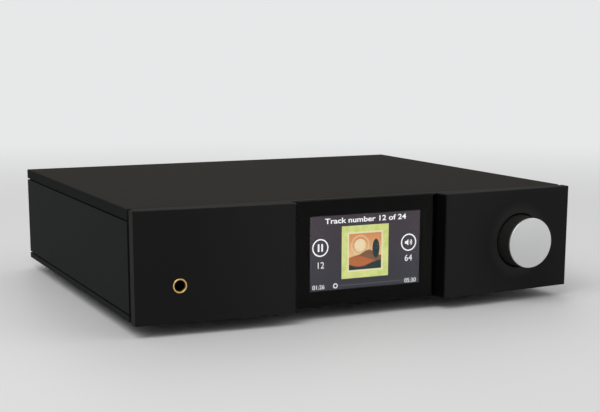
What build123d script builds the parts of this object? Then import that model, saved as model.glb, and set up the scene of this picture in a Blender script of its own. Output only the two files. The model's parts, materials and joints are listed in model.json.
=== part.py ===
from build123d import *
from math import sqrt, sin, cos, tan, radians
import os

# A network music streamer in a flat metal case: a bowed front panel with a
# sunken glass window, a large turning and pressing knob and a headphone
# socket, and a row of sockets along the back.
# Millimetres. X runs to the right seen from the front, Y to the back and Z up.
# The origin is on the table, under the middle of the whole outline.

# Case
case_width = 340.0
case_height = 75.0
case_depth = 288.0
ground_gap = 8.5
edge_break = 0.5
fine_break = 0.3
seam_gap = 0.8
fit_gap = 0.3
slip_gap = 0.05
cut_overrun = 3.0

# How far the knob's rim and the phono sockets stand out of the case
knob_reach = 18.2
socket_reach = 9.5

# Front panel
panel_thickness = 12.0
panel_bulge = 8.0
panel_end_rebate = 3.0
panel_rebate_width = 3.7
window_mouth = 118.6
window_floor = 114.8
glass_set_back = 2.3
glass_thickness = 1.6
glass_rim = 0.4
glass_corner = 1.2
mask_thickness = 0.2
cheek_thickness = 0.8
picture_width = 86.4
picture_height = 51.84
picture_border = 0.4

# Display behind the glass
lcd_width = 96.0
lcd_height = 60.0
lcd_thickness = 3.4
display_board_width = 88.0
display_board_height = 54.0
board_thickness = 1.6
ribbon_width = 20.0
ribbon_thickness = 0.4
ribbon_bend = 4.0
ribbon_rise = 26.0
ribbon_headroom = 1.7
ribbon_plug_depth = 5.0
ribbon_plug_height = 4.0
ribbon_share = (0.56, 0.08)

# Knob and its encoder
knob_end_gap = 46.0
knob_base_radius = 19.0
knob_face_radius = 18.2
knob_gap = 1.2
knob_well_depth = 2.0
knob_rear_clearance = 2.4
knob_cap_thickness = 1.5
knob_cap_dome = 0.7
knob_cap_flat = 1.0
knob_cap_groove = 0.35
knob_hollow_radius = 14.0
knob_hollow_depth = 8.0
knob_hub_radius = 7.0
knob_press_travel = 1.2
shaft_radius = 3.0
shaft_flat = 2.5
shaft_engagement = 11.0
grub_radius = 1.5
grub_length = 3.6
grub_set_back = 9.0
bushing_radius = 4.5
bushing_stand_out = 5.0
encoder_side = 13.0
encoder_wall = 1.5
rotor_radius = 4.6
rotor_thickness = 1.5
plunger_radius = 4.0
plunger_thickness = 2.0
plunger_stem_radius = 1.5
plunger_stem_length = 0.9
encoder_nut_flats = 12.0
encoder_nut_thickness = 2.0
encoder_washer_radius = 6.8
encoder_washer_thickness = 0.6
encoder_well_radius = 8.5
encoder_board_width = 30.0
encoder_board_height = 24.0

# Headphone socket
jack_end_gap = 30.0
jack_drop_share = 1 / 6
jack_bore_radius = 3.2
ferrule_radius = 4.85
ferrule_stand_out = 0.3
ferrule_mouth = 0.9
jack_body_width = 16.0
jack_body_height = 15.0
jack_body_depth = 27.0
jack_bore_depth = 22.0
headphone_board_width = 20.0
headphone_board_depth = 36.0
headphone_header_width = 8.0

# Shell plates
lid_thickness = 7.2
lid_web = 4.0
lid_rim = 14.0
lid_groove = 1.2
base_thickness = 4.5
base_groove = 1.0
groove_depth = 2.0
side_thickness = 10.0
rear_thickness = 3.0
rear_set_in = 1.5
rear_rebate = 6.5
subframe_thickness = 2.0
subframe_lip = 14.0
subframe_top_gap = 1.5
subframe_window_margin = 3.0
lip_screw_shares = (-0.85, -0.28, 0.28, 0.85)
side_screw_shares = (0.07, 0.5, 0.93)

# Feet
foot_inset_side = 50.0
foot_inset_front = 62.0
foot_inset_rear = 50.0
foot_radius = 20.0
foot_pad_radius = 16.0
foot_pad_depth = 2.0
foot_pad_proud = 1.5
foot_bevel = 0.8

# Screws
screw_radius = 1.5
screw_head_radius = 2.75
screw_head_height = 1.8
screw_length = 9.0
tie_radius = 2.0
tie_head_radius = 3.8
tie_head_height = 2.2
pillar_radius = 5.0
pillar_inset_side = 17.0
pillar_inset_front = 50.0
pillar_inset_rear = 34.0
socket_key_radius = 1.0
socket_key_depth = 1.0

# Boards and what stands on them
standoff_radius = 3.0
standoff_inset = 6.0
low_standoff = 8.0
high_standoff_share = 0.24
power_board_front_gap = 54.5
power_board_side_gap = 13.0
digital_board_width = 118.0
digital_board_share = 0.27778
analogue_board_side_gap = 21.0
analogue_board_depth = 120.0
board_gap = 6.0
board_rear_gap = 3.0

# Toroidal mains transformers
toroid_front_gap = 53.0
toroid_side_gap = 16.0
toroid_rear_gap = 0.5
toroid_gap = 3.0
toroid_headroom = 14.3
toroid_hole_share = 0.36
toroid_round = 7.0
toroid_pad_thickness = 2.0
toroid_pad_inset = 4.0
clamp_inset = 6.0
clamp_thickness = 2.0
clamp_dish = 1.5
toroid_bolt_radius = 3.0
toroid_nut_radius = 6.0
toroid_nut_height = 5.0

# Balanced sockets on the back
xlr_left_offset = 133.0
xlr_right_offset = 102.0
xlr_input_offset = 48.0
xlr_flange_width = 26.0
xlr_flange_height = 31.0
xlr_flange_thickness = 2.0
xlr_flange_corner = 3.0
xlr_barrel_radius = 11.8
xlr_barrel_depth = 22.0
xlr_bore_radius = 8.0
xlr_bore_depth = 16.0
xlr_pin_radius = 1.2
xlr_pin_circle = 3.8
xlr_pin_length = 13.0
xlr_side_pin_lift = 20.0
xlr_input_bore_radius = 9.7
xlr_insert_radius = 7.6
xlr_insert_set_back = 0.6
xlr_contact_radius = 1.35
xlr_screw_across = 19.0
xlr_screw_up = 24.0
latch_width = 8.0
latch_height = 3.4
latch_depth = 12.0
latch_stand_out = 1.6
latch_travel = 1.5
latch_rise = 11.5

# Phono sockets on the back
phono_out_offset = 76.0
phono_pitch = 20.0
phono_barrel_radius = 4.15
phono_bore_radius = 3.2
phono_contact_radius = 1.65
phono_flange_radius = 6.6
phono_flange_thickness = 1.4
phono_insulator_set_back = 0.8
phono_thread_radius = 4.6
phono_nut_radius = 6.2
phono_nut_thickness = 2.2
phono_tail = 6.0
coax_offset = 17.0

# Data sockets on the back
usb_offsets = (-20.0, -38.0)
usb_width = 13.1
usb_height = 5.7
usb_wall = 0.4
usb_depth = 15.0
usb_tongue_width = 11.1
usb_tongue_height = 1.9
usb_tongue_reach = 10.0
usb_b_offset = 0.0
usb_b_width = 12.0
usb_b_height = 10.8
usb_b_wall = 0.6
usb_b_depth = 17.0
usb_b_mouth_width = 8.6
usb_b_mouth_height = 7.9
usb_b_mouth_depth = 10.0
usb_b_tongue_width = 5.6
usb_b_tongue_height = 3.2
lan_offset = -58.0
lan_width = 16.2
lan_height = 13.6
lan_depth = 21.0
lan_mouth_width = 11.9
lan_mouth_height = 8.0
lan_mouth_depth = 14.0
lan_key_width = 6.2
lan_key_height = 2.2
lan_floor = 1.6
lan_contact_width = 0.45
lan_contact_pitch = 1.02
lan_contact_height = 0.5
optical_offset = 17.0
optical_width = 12.4
optical_height = 11.4
optical_depth = 16.0
optical_mouth_width = 9.2
optical_mouth_height = 8.6
optical_mouth_depth = 12.5
shutter_thickness = 0.9
shutter_set_back = 1.0
shutter_knuckle_radius = 0.55
shutter_gap = 0.25
port_stand_out = 0.6
rear_cut_gap = 0.4

# Aerial sockets on the back
aerial_offsets = (-77.0, 154.5)
aerial_rise = 17.0
aerial_stud_radius = 3.1
aerial_shank_radius = 3.6
aerial_stud_reach = 8.0
aerial_bore_radius = 2.2
aerial_bore_depth = 4.0
aerial_pin_radius = 0.5
aerial_nut_radius = 4.6
aerial_nut_thickness = 2.0
aerial_tail = 7.0
aerial_collar_radius = 4.2

# Mains switch and inlet on the back
switch_offset = -98.0
switch_bezel_width = 15.0
switch_bezel_height = 21.0
switch_bezel_thickness = 1.6
switch_body_width = 12.8
switch_body_height = 18.8
switch_body_depth = 18.0
switch_mouth_width = 9.6
switch_mouth_height = 15.6
switch_mouth_depth = 9.0
rocker_width = 9.0
rocker_height = 13.8
rocker_depth = 5.0
rocker_pivot_depth = 2.2
rocker_tilt = 10.0
rocker_crest = 1.4
rocker_pin_radius = 1.0
rocker_pin_reach = 11.4
inlet_offset = -133.0
inlet_flange_width = 48.0
inlet_flange_height = 40.0
inlet_flange_thickness = 2.5
inlet_flange_corner = 6.0
inlet_body_width = 29.0
inlet_body_height = 36.0
inlet_body_depth = 30.0
inlet_lift = 6.0
inlet_mouth_width = 24.4
inlet_mouth_height = 16.4
inlet_mouth_depth = 17.5
inlet_mouth_bevel = 3.6
inlet_blade_width = 2.0
inlet_blade_height = 4.0
inlet_blade_length = 15.0
inlet_blade_pitch = 14.0
inlet_earth_lift = 4.0
inlet_tab_length = 8.0
inlet_screw_pitch = 40.0
drawer_width = 22.0
drawer_height = 7.6
drawer_depth = 25.0
drawer_drop = 11.5
drawer_lip = 1.4
drawer_lip_margin = 0.8
fuse_radius = 2.6
fuse_length = 20.0
fuse_cap_length = 5.0

# What stands on the boards
reservoir_share = 0.0382
reservoir_side_gap = 7.4
can_radius = 4.0
can_height = 13.0
can_gap = 3.0
fin_base = 2.5
fin_thickness = 1.2
rectifier_cooler_inset = 15.0
rectifier_cooler_share = 0.16
rectifier_lead_gap = 1.9
rectifier_fins = 9
rectifier_share = (0.5, 0.86)
processor_cooler_side = 28.0
processor_cooler_height = 11.0
processor_fins = 8
processor_side = 20.0
processor_share = (0.38, 0.5)
chip_side = 12.0
chip_thickness = 1.8
relay_width = 10.0
relay_depth = 15.0
relay_height = 9.5
header_width = 16.0
header_depth = 8.0
header_height = 9.0
power_in_share = (0.25, 0.08)
power_out_share = (0.86, 0.72)
digital_in_share = (0.8, 0.1)
analogue_in_share = (0.2, 0.1)
headphone_share = (0.52, 0.1)
wireless_share = (0.12, 0.55)
wireless_width = 18.0
wireless_depth = 26.0
wireless_screen_height = 2.2

# Leads inside the case
lead_radius = 1.1
lead_run = 12.0
lead_spacing = 2.6
signal_lead_radius = 1.4
signal_lead_drop = 8.0
aerial_lead_radius = 0.6
bend_share = 0.45

# Main places, worked out from the sizes above
knob_front_reach = knob_reach + knob_cap_dome
overall_depth = knob_front_reach + case_depth + socket_reach
front_y = knob_front_reach - overall_depth / 2
rear_y = front_y + case_depth
base_z = ground_gap
top_z = base_z + case_height
mid_z = (base_z + top_z) / 2
half_width = case_width / 2
knob_offset = half_width - knob_end_gap
jack_offset = half_width - jack_end_gap
inner_half = half_width - side_thickness
floor_z = base_z + base_thickness
ceiling_z = top_z - lid_thickness
panel_back_y = front_y + panel_thickness
shell_front_y = panel_back_y + seam_gap
subframe_back_y = panel_back_y + subframe_thickness
rear_outer_y = rear_y - rear_set_in
rear_inner_y = rear_outer_y - rear_thickness
glass_front_y = front_y + glass_set_back
glass_back_y = glass_front_y + glass_thickness
recess_floor_y = glass_back_y + mask_thickness
bow_radius = (half_width**2 + panel_bulge**2) / (2 * panel_bulge)
knob_well_y = front_y + knob_well_depth
knob_rear_y = knob_well_y - knob_rear_clearance
knob_rim_y = front_y - knob_reach
knob_cap_back_y = knob_rim_y + knob_cap_thickness
rotor_front_y = subframe_back_y + encoder_wall + fit_gap
plunger_front_y = rotor_front_y + rotor_thickness
plunger_back_y = plunger_front_y + plunger_thickness + plunger_stem_length
encoder_room_y = plunger_back_y + knob_press_travel + fit_gap
encoder_back_y = encoder_room_y + encoder_wall / 2
jack_z = mid_z - case_height * jack_drop_share
low_board_z = floor_z + low_standoff
high_board_z = floor_z + case_height * high_standoff_share
board_rear_y = rear_inner_y - board_rear_gap
port_floor_z = high_board_z + board_thickness
digital_board_centre = (usb_b_offset + lan_offset) / 2 + board_gap / 2
digital_board_depth = case_depth * digital_board_share
digital_board_front_y = board_rear_y - digital_board_depth
analogue_board_left = digital_board_centre + digital_board_width / 2 + board_gap
toroid_room = digital_board_front_y - toroid_rear_gap - front_y - toroid_front_gap
toroid_radius = (toroid_room - toroid_gap) / 4
toroid_hole_radius = toroid_radius * toroid_hole_share
toroid_stack = 2 * toroid_pad_thickness + clamp_thickness + toroid_nut_height
toroid_height = ceiling_z - toroid_headroom - toroid_stack - floor_z
toroid_offset = inner_half - toroid_side_gap - toroid_radius
toroid_pad_radius = toroid_radius - toroid_pad_inset
clamp_radius = toroid_radius - clamp_inset
power_board_front_y = subframe_back_y + power_board_front_gap
power_board_rear_y = digital_board_front_y - board_gap
power_board_depth = power_board_rear_y - power_board_front_y
power_board_left = toroid_radius + board_gap - toroid_offset
power_board_right = analogue_board_left - power_board_side_gap
ribbon_z = mid_z - display_board_height / 4 + ribbon_rise
reservoir_radius = case_depth * reservoir_share
reservoir_start = reservoir_side_gap + reservoir_radius
reservoir_height = ribbon_z - ribbon_thickness / 2 - ribbon_headroom - low_board_z - board_thickness
rectifier_cooler_width = power_board_right - power_board_left - 2 * rectifier_cooler_inset
rectifier_cooler_depth = power_board_depth * rectifier_cooler_share
supply_lead_z = high_board_z + board_thickness + header_height + lead_run
rectifier_cooler_top = supply_lead_z - lead_radius - rectifier_lead_gap
rectifier_cooler_height = rectifier_cooler_top - low_board_z - board_thickness
xlr_z = mid_z
drawer_z = mid_z - drawer_drop
inlet_z = mid_z + inlet_lift


def span(x, y, z):
    """A block between three pairs of limits."""
    size = [high - low for low, high in (x, y, z)]
    centre = [(high + low) / 2 for low, high in (x, y, z)]
    return Pos(*centre) * Box(*size)


def about(centre, size):
    """The pair of limits that lies evenly about a centre."""
    return (centre - size / 2, centre + size / 2)


def rod_x(x, y, z, radius):
    """A cylinder along X between two limits."""
    return Pos((x[0] + x[1]) / 2, y, z) * Rot(0, 90, 0) * Cylinder(radius, x[1] - x[0])


def rod_y(x, y, z, radius):
    """A cylinder along Y between two limits."""
    return Pos(x, (y[0] + y[1]) / 2, z) * Rot(90, 0, 0) * Cylinder(radius, y[1] - y[0])


def rod_z(x, y, z, radius):
    """A cylinder along Z between two limits."""
    return Pos(x, y, (z[0] + z[1]) / 2) * Cylinder(radius, z[1] - z[0])


def round_slab(x, y, z, corner):
    """A plate facing Y with rounded corners, centred on x and z."""
    face = Plane.XZ * Pos(x[0], z[0]) * RectangleRounded(x[1], z[1], corner)
    return Pos(0, y[1], 0) * extrude(face, y[1] - y[0])


def turned(points, x, z):
    """A solid turned about an axis along Y, from (radius, y) points."""
    outline = make_face(Polyline(*points, points[0]))
    return Pos(x, 0, z) * revolve(outline, Axis.Y)


def hexagon_y(x, y, z, flats):
    """A hexagonal prism along Y."""
    face = Plane.XZ * Pos(x, z) * RegularPolygon(flats / 2, 6, major_radius=False)
    return Pos(0, y[1], 0) * extrude(face, y[1] - y[0])


def group(solids):
    """Several separate solids as one node."""
    return Compound(children=list(solids))


def panel_surface_y(x):
    """The bowed front surface of the front panel at a place along X."""
    return front_y - panel_bulge + bow_radius - sqrt(bow_radius**2 - x**2)


def window_half(y):
    """Half the width of the window recess at a place along Y; its cheeks slope."""
    mouth_y = panel_surface_y(window_mouth / 2)
    slope = (window_mouth - window_floor) / 2 / (recess_floor_y - mouth_y)
    return window_floor / 2 + slope * (recess_floor_y - y)


def other_side(solid):
    return mirror(solid, Plane.YZ)


# Front panel and window


def panel_screw_places():
    outer = inner_half - 2 * screw_head_radius
    inner = window_mouth / 2 + 2 * screw_head_radius
    for x in (-outer, -inner, inner, outer):
        for z in (mid_z - case_height / 3, mid_z + case_height / 3):
            yield x, z


def on_upright_rim(edge):
    """True for the upright edges at both ends of the front face and at the recess mouth."""
    place = edge.center()
    end = abs(place.X) > half_width - fine_break
    mouth = abs(abs(place.X) - window_mouth / 2) < fine_break
    return (end or mouth) and place.Y < panel_back_y - fine_break and edge.length > case_height / 2


def on_level_rim(edge):
    """True for the long edges at the top and bottom of the front face and the recess."""
    place = edge.center()
    level = abs(place.Z - mid_z) > case_height / 2 - fine_break
    return level and place.Y < panel_back_y - fine_break and edge.length > case_height / 2


def front_panel():
    bow_y = front_y - panel_bulge
    outline = Curve() + [
        Line((-half_width, front_y), (-half_width, panel_back_y)),
        Line((-half_width, panel_back_y), (half_width, panel_back_y)),
        Line((half_width, panel_back_y), (half_width, front_y)),
        ThreePointArc((half_width, front_y), (0, bow_y), (-half_width, front_y)),
    ]
    panel = Pos(0, 0, base_z) * extrude(make_face(outline), case_height, dir=(0, 0, 1))
    mouth_y = bow_y - cut_overrun
    floor_half, mouth_half = window_half(recess_floor_y), window_half(mouth_y)
    recess = make_face(
        Polyline(
            (-floor_half, recess_floor_y),
            (floor_half, recess_floor_y),
            (mouth_half, mouth_y),
            (-mouth_half, mouth_y),
            (-floor_half, recess_floor_y),
        )
    )
    panel -= Pos(0, 0, base_z - cut_overrun) * extrude(recess, case_height + 2 * cut_overrun, dir=(0, 0, 1))
    panel = chamfer(panel.edges().filter_by(on_upright_rim), edge_break)
    panel = chamfer(panel.edges().filter_by(on_level_rim), edge_break)
    opening = lcd_width + 2 * fit_gap
    panel -= span(
        about(0, opening),
        (recess_floor_y - cut_overrun, panel_back_y + cut_overrun),
        about(mid_z, lcd_height + 2 * fit_gap),
    )
    panel -= rod_y(knob_offset, (bow_y - cut_overrun, knob_well_y), mid_z, knob_base_radius + knob_gap)
    panel -= rod_y(knob_offset, (bow_y, panel_back_y + cut_overrun), mid_z, encoder_well_radius)
    panel -= rod_y(-jack_offset, (bow_y, panel_back_y + cut_overrun), jack_z, ferrule_radius + slip_gap)
    tapped = (panel_back_y - screw_length, panel_back_y + cut_overrun)
    for x, z in panel_screw_places():
        panel -= rod_y(x, tapped, z, screw_radius + slip_gap)
    rebate = span(
        (half_width - panel_end_rebate, half_width + cut_overrun),
        (panel_back_y - panel_rebate_width, panel_back_y + cut_overrun),
        about(mid_z, case_height + 2 * cut_overrun),
    )
    return panel - rebate - other_side(rebate)


def window_cheek():
    """The dark lining of one sloping side of the recess."""
    front = panel_surface_y(window_mouth / 2) + edge_break
    back = recess_floor_y
    points = [
        (window_half(back), back),
        (window_half(front), front),
        (window_half(front) - cheek_thickness, front),
        (window_half(back) - cheek_thickness, back),
    ]
    face = make_face(Polyline(*points, points[0]))
    height = case_height - 2 * edge_break
    return Pos(0, 0, base_z + edge_break) * extrude(face, height, dir=(0, 0, 1))


def glass_size():
    """Width and height of the window glass, between the two cheeks."""
    width = 2 * (window_half(glass_back_y) - cheek_thickness - fit_gap)
    return width, case_height - 2 * glass_rim


def display_glass():
    width, height = glass_size()
    glass = round_slab((0, width), (glass_front_y, glass_back_y), (mid_z, height), glass_corner)
    rims = glass.edges().group_by(Axis.Y)[0]
    return chamfer(rims, fine_break)


def display_mask():
    """The black layer printed and glued round the picture, behind the glass."""
    width, height = glass_size()
    width = min(width, window_floor - 2 * cheek_thickness - 2 * fit_gap)
    mask = round_slab((0, width), (glass_back_y, recess_floor_y), (mid_z, height), glass_corner)
    return mask - span(
        about(0, picture_width + 2 * picture_border),
        (glass_back_y - cut_overrun, recess_floor_y + cut_overrun),
        about(mid_z, picture_height + 2 * picture_border),
    )


def display_panel():
    """The liquid crystal module: its picture area faces the glass."""
    body = span(
        about(0, lcd_width),
        (recess_floor_y, recess_floor_y + lcd_thickness),
        about(mid_z, lcd_height),
    )
    rims = body.edges().group_by(Axis.Y)[-1]
    return chamfer(rims, fine_break)


def display_board():
    front = recess_floor_y + lcd_thickness
    board = span(
        about(0, display_board_width),
        (front, front + board_thickness),
        about(mid_z, display_board_height),
    )
    chip = span(
        about(-display_board_width / 4, display_board_height / 4),
        (front + board_thickness, front + 2 * board_thickness),
        about(mid_z, display_board_height / 4),
    )
    return board + chip


def subframe():
    """The folded steel plate that carries the front panel, encoder and jack."""
    plate = span(
        about(0, 2 * (inner_half - fit_gap)),
        (panel_back_y, subframe_back_y),
        (floor_z, ceiling_z - subframe_top_gap),
    )
    lip = span(
        about(0, 2 * (inner_half - fit_gap)),
        (panel_back_y + seam_gap, subframe_back_y + subframe_lip),
        (floor_z, floor_z + subframe_thickness),
    )
    frame = plate + lip
    through = (panel_back_y - cut_overrun, subframe_back_y + cut_overrun)
    frame -= span(
        about(0, display_board_width + 2 * subframe_window_margin),
        through,
        about(mid_z, display_board_height + 2 * subframe_window_margin),
    )
    frame -= rod_y(knob_offset, through, mid_z, bushing_radius + slip_gap)
    frame -= rod_y(-jack_offset, through, jack_z, jack_bore_radius + fit_gap)
    for x, z in panel_screw_places():
        frame -= rod_y(x, through, z, screw_radius + fit_gap)
    through = (floor_z - cut_overrun, floor_z + cut_overrun)
    for x in lip_screw_places():
        frame -= rod_z(x, lip_screw_y(), through, screw_radius + fit_gap)
    return frame


def lip_screw_places():
    return [share * inner_half for share in lip_screw_shares]


def lip_screw_y():
    return subframe_back_y + subframe_lip * 2 / 3


def pan_screw_y(x, z, seat_y, length, towards=1):
    """A pan head screw along Y with a hexagonal key hole; its head lies beyond the seat."""
    shank = rod_y(x, sorted((seat_y, seat_y - towards * length)), z, screw_radius)
    head = rod_y(x, sorted((seat_y, seat_y + towards * screw_head_height)), z, screw_head_radius)
    top_y = seat_y + towards * screw_head_height
    far_rim = head.edges().filter_by(lambda e: abs(e.center().Y - top_y) < slip_gap)
    head = chamfer(far_rim, fine_break)
    key_y = sorted((top_y + towards * cut_overrun, top_y - towards * socket_key_depth))
    key = hexagon_y(x, key_y, z, 2 * socket_key_radius)
    return shank + head - key


def pan_screw_z(x, y, seat_z, length, up=1):
    """A pan head screw along Z; its head lies above the seat, or below it with up of -1."""
    shank = rod_z(x, y, sorted((seat_z, seat_z - up * length)), screw_radius)
    return shank + rod_z(x, y, sorted((seat_z, seat_z + up * screw_head_height)), screw_head_radius)


def tie_screw(x, y, seat_z, length):
    """A thicker screw that comes up from below, its head under the seat."""
    shank = rod_z(x, y, (seat_z, seat_z + length), tie_radius)
    return shank + rod_z(x, y, (seat_z - tie_head_height, seat_z), tie_head_radius)


def front_panel_screws():
    length = screw_length - fit_gap + subframe_thickness
    return [pan_screw_y(x, z, subframe_back_y, length) for x, z in panel_screw_places()]


def subframe_screws():
    seat = floor_z + subframe_thickness
    length = subframe_thickness + base_thickness - fit_gap
    return [pan_screw_z(x, lip_screw_y(), seat, length) for x in lip_screw_places()]


# Knob and encoder


def knob_body():
    """The black part of the knob, hollow behind, with a hub that takes the shaft."""
    front, back = knob_cap_back_y, knob_rear_y
    slope = (knob_base_radius - knob_face_radius) / (back - front)
    near_front = front + knob_cap_groove
    points = [
        (0, front),
        (knob_face_radius - knob_cap_groove, front),
        (knob_face_radius + slope * knob_cap_groove, near_front),
        (knob_base_radius - fine_break * slope, back - fine_break),
        (knob_base_radius - fine_break, back),
        (knob_hollow_radius, back),
        (knob_hollow_radius, back - knob_hollow_depth),
        (knob_hub_radius, back - knob_hollow_depth),
        (knob_hub_radius, back),
        (0, back),
    ]
    body = turned(points, knob_offset, mid_z)
    bore_y = (knob_rear_y - shaft_engagement, knob_rear_y + cut_overrun)
    bore = rod_y(knob_offset, bore_y, mid_z, shaft_radius + slip_gap)
    flat = span(
        about(knob_offset, 2 * knob_hub_radius),
        bore_y,
        (mid_z - knob_hub_radius, mid_z - shaft_flat - slip_gap),
    )
    body -= bore - flat
    key_way = (mid_z - knob_base_radius - cut_overrun, mid_z - shaft_flat)
    return body - rod_z(knob_offset, grub_y(), key_way, grub_radius + slip_gap)


def grub_y():
    return knob_rear_y - grub_set_back


def knob_set_screw():
    top = mid_z - shaft_flat - slip_gap
    bottom = top - grub_length
    key = (bottom - cut_overrun, bottom + socket_key_depth)
    screw = rod_z(knob_offset, grub_y(), (bottom, top), grub_radius)
    return screw - rod_z(knob_offset, grub_y(), key, socket_key_radius)


def knob_cap():
    """The pale metal face of the knob, very slightly domed, with a broken rim."""
    radius = knob_face_radius
    rim_y = knob_rim_y + fine_break
    reach = radius - fine_break
    crown_y = knob_rim_y - knob_cap_dome
    drop = (reach**2 - knob_cap_flat**2 - knob_cap_dome**2) / (2 * knob_cap_dome)
    half_y = knob_rim_y + drop - sqrt(reach**2 + drop**2 - (reach / 2) ** 2)
    outline = Curve() + [
        Line((0, knob_cap_back_y), (radius, knob_cap_back_y)),
        Line((radius, knob_cap_back_y), (radius, rim_y)),
        Line((radius, rim_y), (reach, knob_rim_y)),
        ThreePointArc((reach, knob_rim_y), (reach / 2, half_y), (knob_cap_flat, crown_y)),
        Line((knob_cap_flat, crown_y), (0, crown_y)),
        Line((0, crown_y), (0, knob_cap_back_y)),
    ]
    return Pos(knob_offset, 0, mid_z) * revolve(make_face(outline), Axis.Y)


def encoder_shaft():
    front = knob_rear_y - shaft_engagement + fit_gap
    shaft = rod_y(knob_offset, (front, rotor_front_y), mid_z, shaft_radius)
    shaft -= span(
        about(knob_offset, 2 * shaft_radius),
        (front - cut_overrun, knob_rear_y + knob_rear_clearance),
        (mid_z - shaft_radius - cut_overrun, mid_z - shaft_flat),
    )
    return shaft + rod_y(knob_offset, (rotor_front_y, plunger_front_y), mid_z, rotor_radius)


def encoder_plunger():
    back = plunger_front_y + plunger_thickness
    head = rod_y(knob_offset, (plunger_front_y, back), mid_z, plunger_radius)
    return head + rod_y(knob_offset, (back, back + plunger_stem_length), mid_z, plunger_stem_radius)


def encoder_housing():
    box = span(
        about(knob_offset, encoder_side),
        (subframe_back_y, encoder_back_y),
        about(mid_z, encoder_side),
    )
    box = chamfer(box.edges().filter_by(Axis.Y), edge_break)
    bushing_front = panel_back_y - bushing_stand_out
    room_front = subframe_back_y + encoder_wall
    housing = box + rod_y(knob_offset, (bushing_front, room_front), mid_z, bushing_radius)
    bore_y = (bushing_front - cut_overrun, encoder_room_y)
    housing -= rod_y(knob_offset, bore_y, mid_z, shaft_radius + slip_gap)
    return housing - rod_y(knob_offset, (room_front, encoder_room_y), mid_z, rotor_radius + fit_gap)


def encoder_nut():
    nut_back = panel_back_y - encoder_washer_thickness
    hole = (panel_back_y - bushing_stand_out, panel_back_y + cut_overrun)
    cutter = rod_y(knob_offset, hole, mid_z, bushing_radius + slip_gap)
    nut = hexagon_y(knob_offset, (nut_back - encoder_nut_thickness, nut_back), mid_z, encoder_nut_flats)
    washer = rod_y(knob_offset, (nut_back, panel_back_y), mid_z, encoder_washer_radius)
    return nut + washer - cutter


def encoder_board():
    board = span(
        about(knob_offset, encoder_board_width),
        (encoder_back_y, encoder_back_y + board_thickness),
        about(mid_z, encoder_board_height),
    )
    header = span(
        about(knob_offset - encoder_board_width / 4, header_depth),
        (encoder_back_y + board_thickness, encoder_back_y + board_thickness + header_height / 2),
        about(mid_z - encoder_board_height / 4, header_depth / 2),
    )
    return board + header


# Headphone socket


def headphone_ferrule():
    """The gilded ring that shows round the headphone socket's mouth."""
    front = panel_surface_y(jack_offset) - ferrule_stand_out
    ring = rod_y(-jack_offset, (front, panel_back_y), jack_z, ferrule_radius)
    ring = chamfer(ring.edges().group_by(Axis.Y)[0], fine_break / 2)
    ring -= rod_y(-jack_offset, (front - cut_overrun, panel_back_y + cut_overrun), jack_z, jack_bore_radius)
    mouth = [
        (0, front - slip_gap),
        (jack_bore_radius + ferrule_mouth, front - slip_gap),
        (jack_bore_radius, front + ferrule_mouth),
        (0, front + ferrule_mouth),
    ]
    return ring - turned(mouth, -jack_offset, jack_z)


def headphone_jack():
    body = span(
        about(-jack_offset, jack_body_width),
        (subframe_back_y, subframe_back_y + jack_body_depth),
        about(jack_z, jack_body_height),
    )
    body = chamfer(body.edges().filter_by(Axis.Y), edge_break)
    nose_radius = jack_bore_radius + fit_gap - slip_gap
    nose = rod_y(-jack_offset, (panel_back_y, subframe_back_y), jack_z, nose_radius)
    bore = rod_y(
        -jack_offset,
        (panel_back_y - cut_overrun, subframe_back_y + jack_bore_depth),
        jack_z,
        jack_bore_radius + slip_gap,
    )
    return body + nose - bore


def headphone_board():
    top = jack_z - jack_body_height / 2
    start = subframe_back_y + fit_gap
    board = span(
        about(-jack_offset, headphone_board_width),
        (start, start + headphone_board_depth),
        (top - board_thickness, top),
    )
    header = span(
        about(-jack_offset, headphone_header_width),
        (start + headphone_board_depth - header_depth, start + headphone_board_depth),
        (top, top + header_height),
    )
    return board + header


# Shell plates


def pillar_places():
    for x in (-half_width + pillar_inset_side, half_width - pillar_inset_side):
        for y in (shell_front_y + pillar_inset_front, rear_inner_y - pillar_inset_rear):
            yield x, y


def side_screw_places():
    run = rear_y - shell_front_y
    return [shell_front_y + share * run for share in side_screw_shares]


def foot_places():
    for x in (-half_width + foot_inset_side, half_width - foot_inset_side):
        for y in (front_y + foot_inset_front, rear_y - foot_inset_rear):
            yield x, y


def top_cover():
    lid = span(about(0, case_width), (shell_front_y, rear_y), (ceiling_z, top_z))
    rims = lid.edges().filter_by(lambda e: e.center().Z > top_z - fine_break)
    rims = rims.filter_by(lambda e: e.center().Y > shell_front_y + fine_break)
    lid = chamfer(rims, edge_break)
    hollow = span(
        about(0, case_width - 2 * lid_rim),
        (shell_front_y + lid_rim, rear_y - lid_rim),
        (ceiling_z - cut_overrun, top_z - lid_web),
    )
    hollow = fillet(hollow.edges().filter_by(Axis.Z), pillar_radius)
    lid -= hollow
    for x, y in pillar_places():
        lid += rod_z(x, y, (ceiling_z, top_z - lid_web), pillar_radius + edge_break)
    tapped = (ceiling_z - cut_overrun, top_z - lid_web)
    for x, y in pillar_places():
        lid -= rod_z(x, y, tapped, tie_radius + slip_gap)
    return lid


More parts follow.
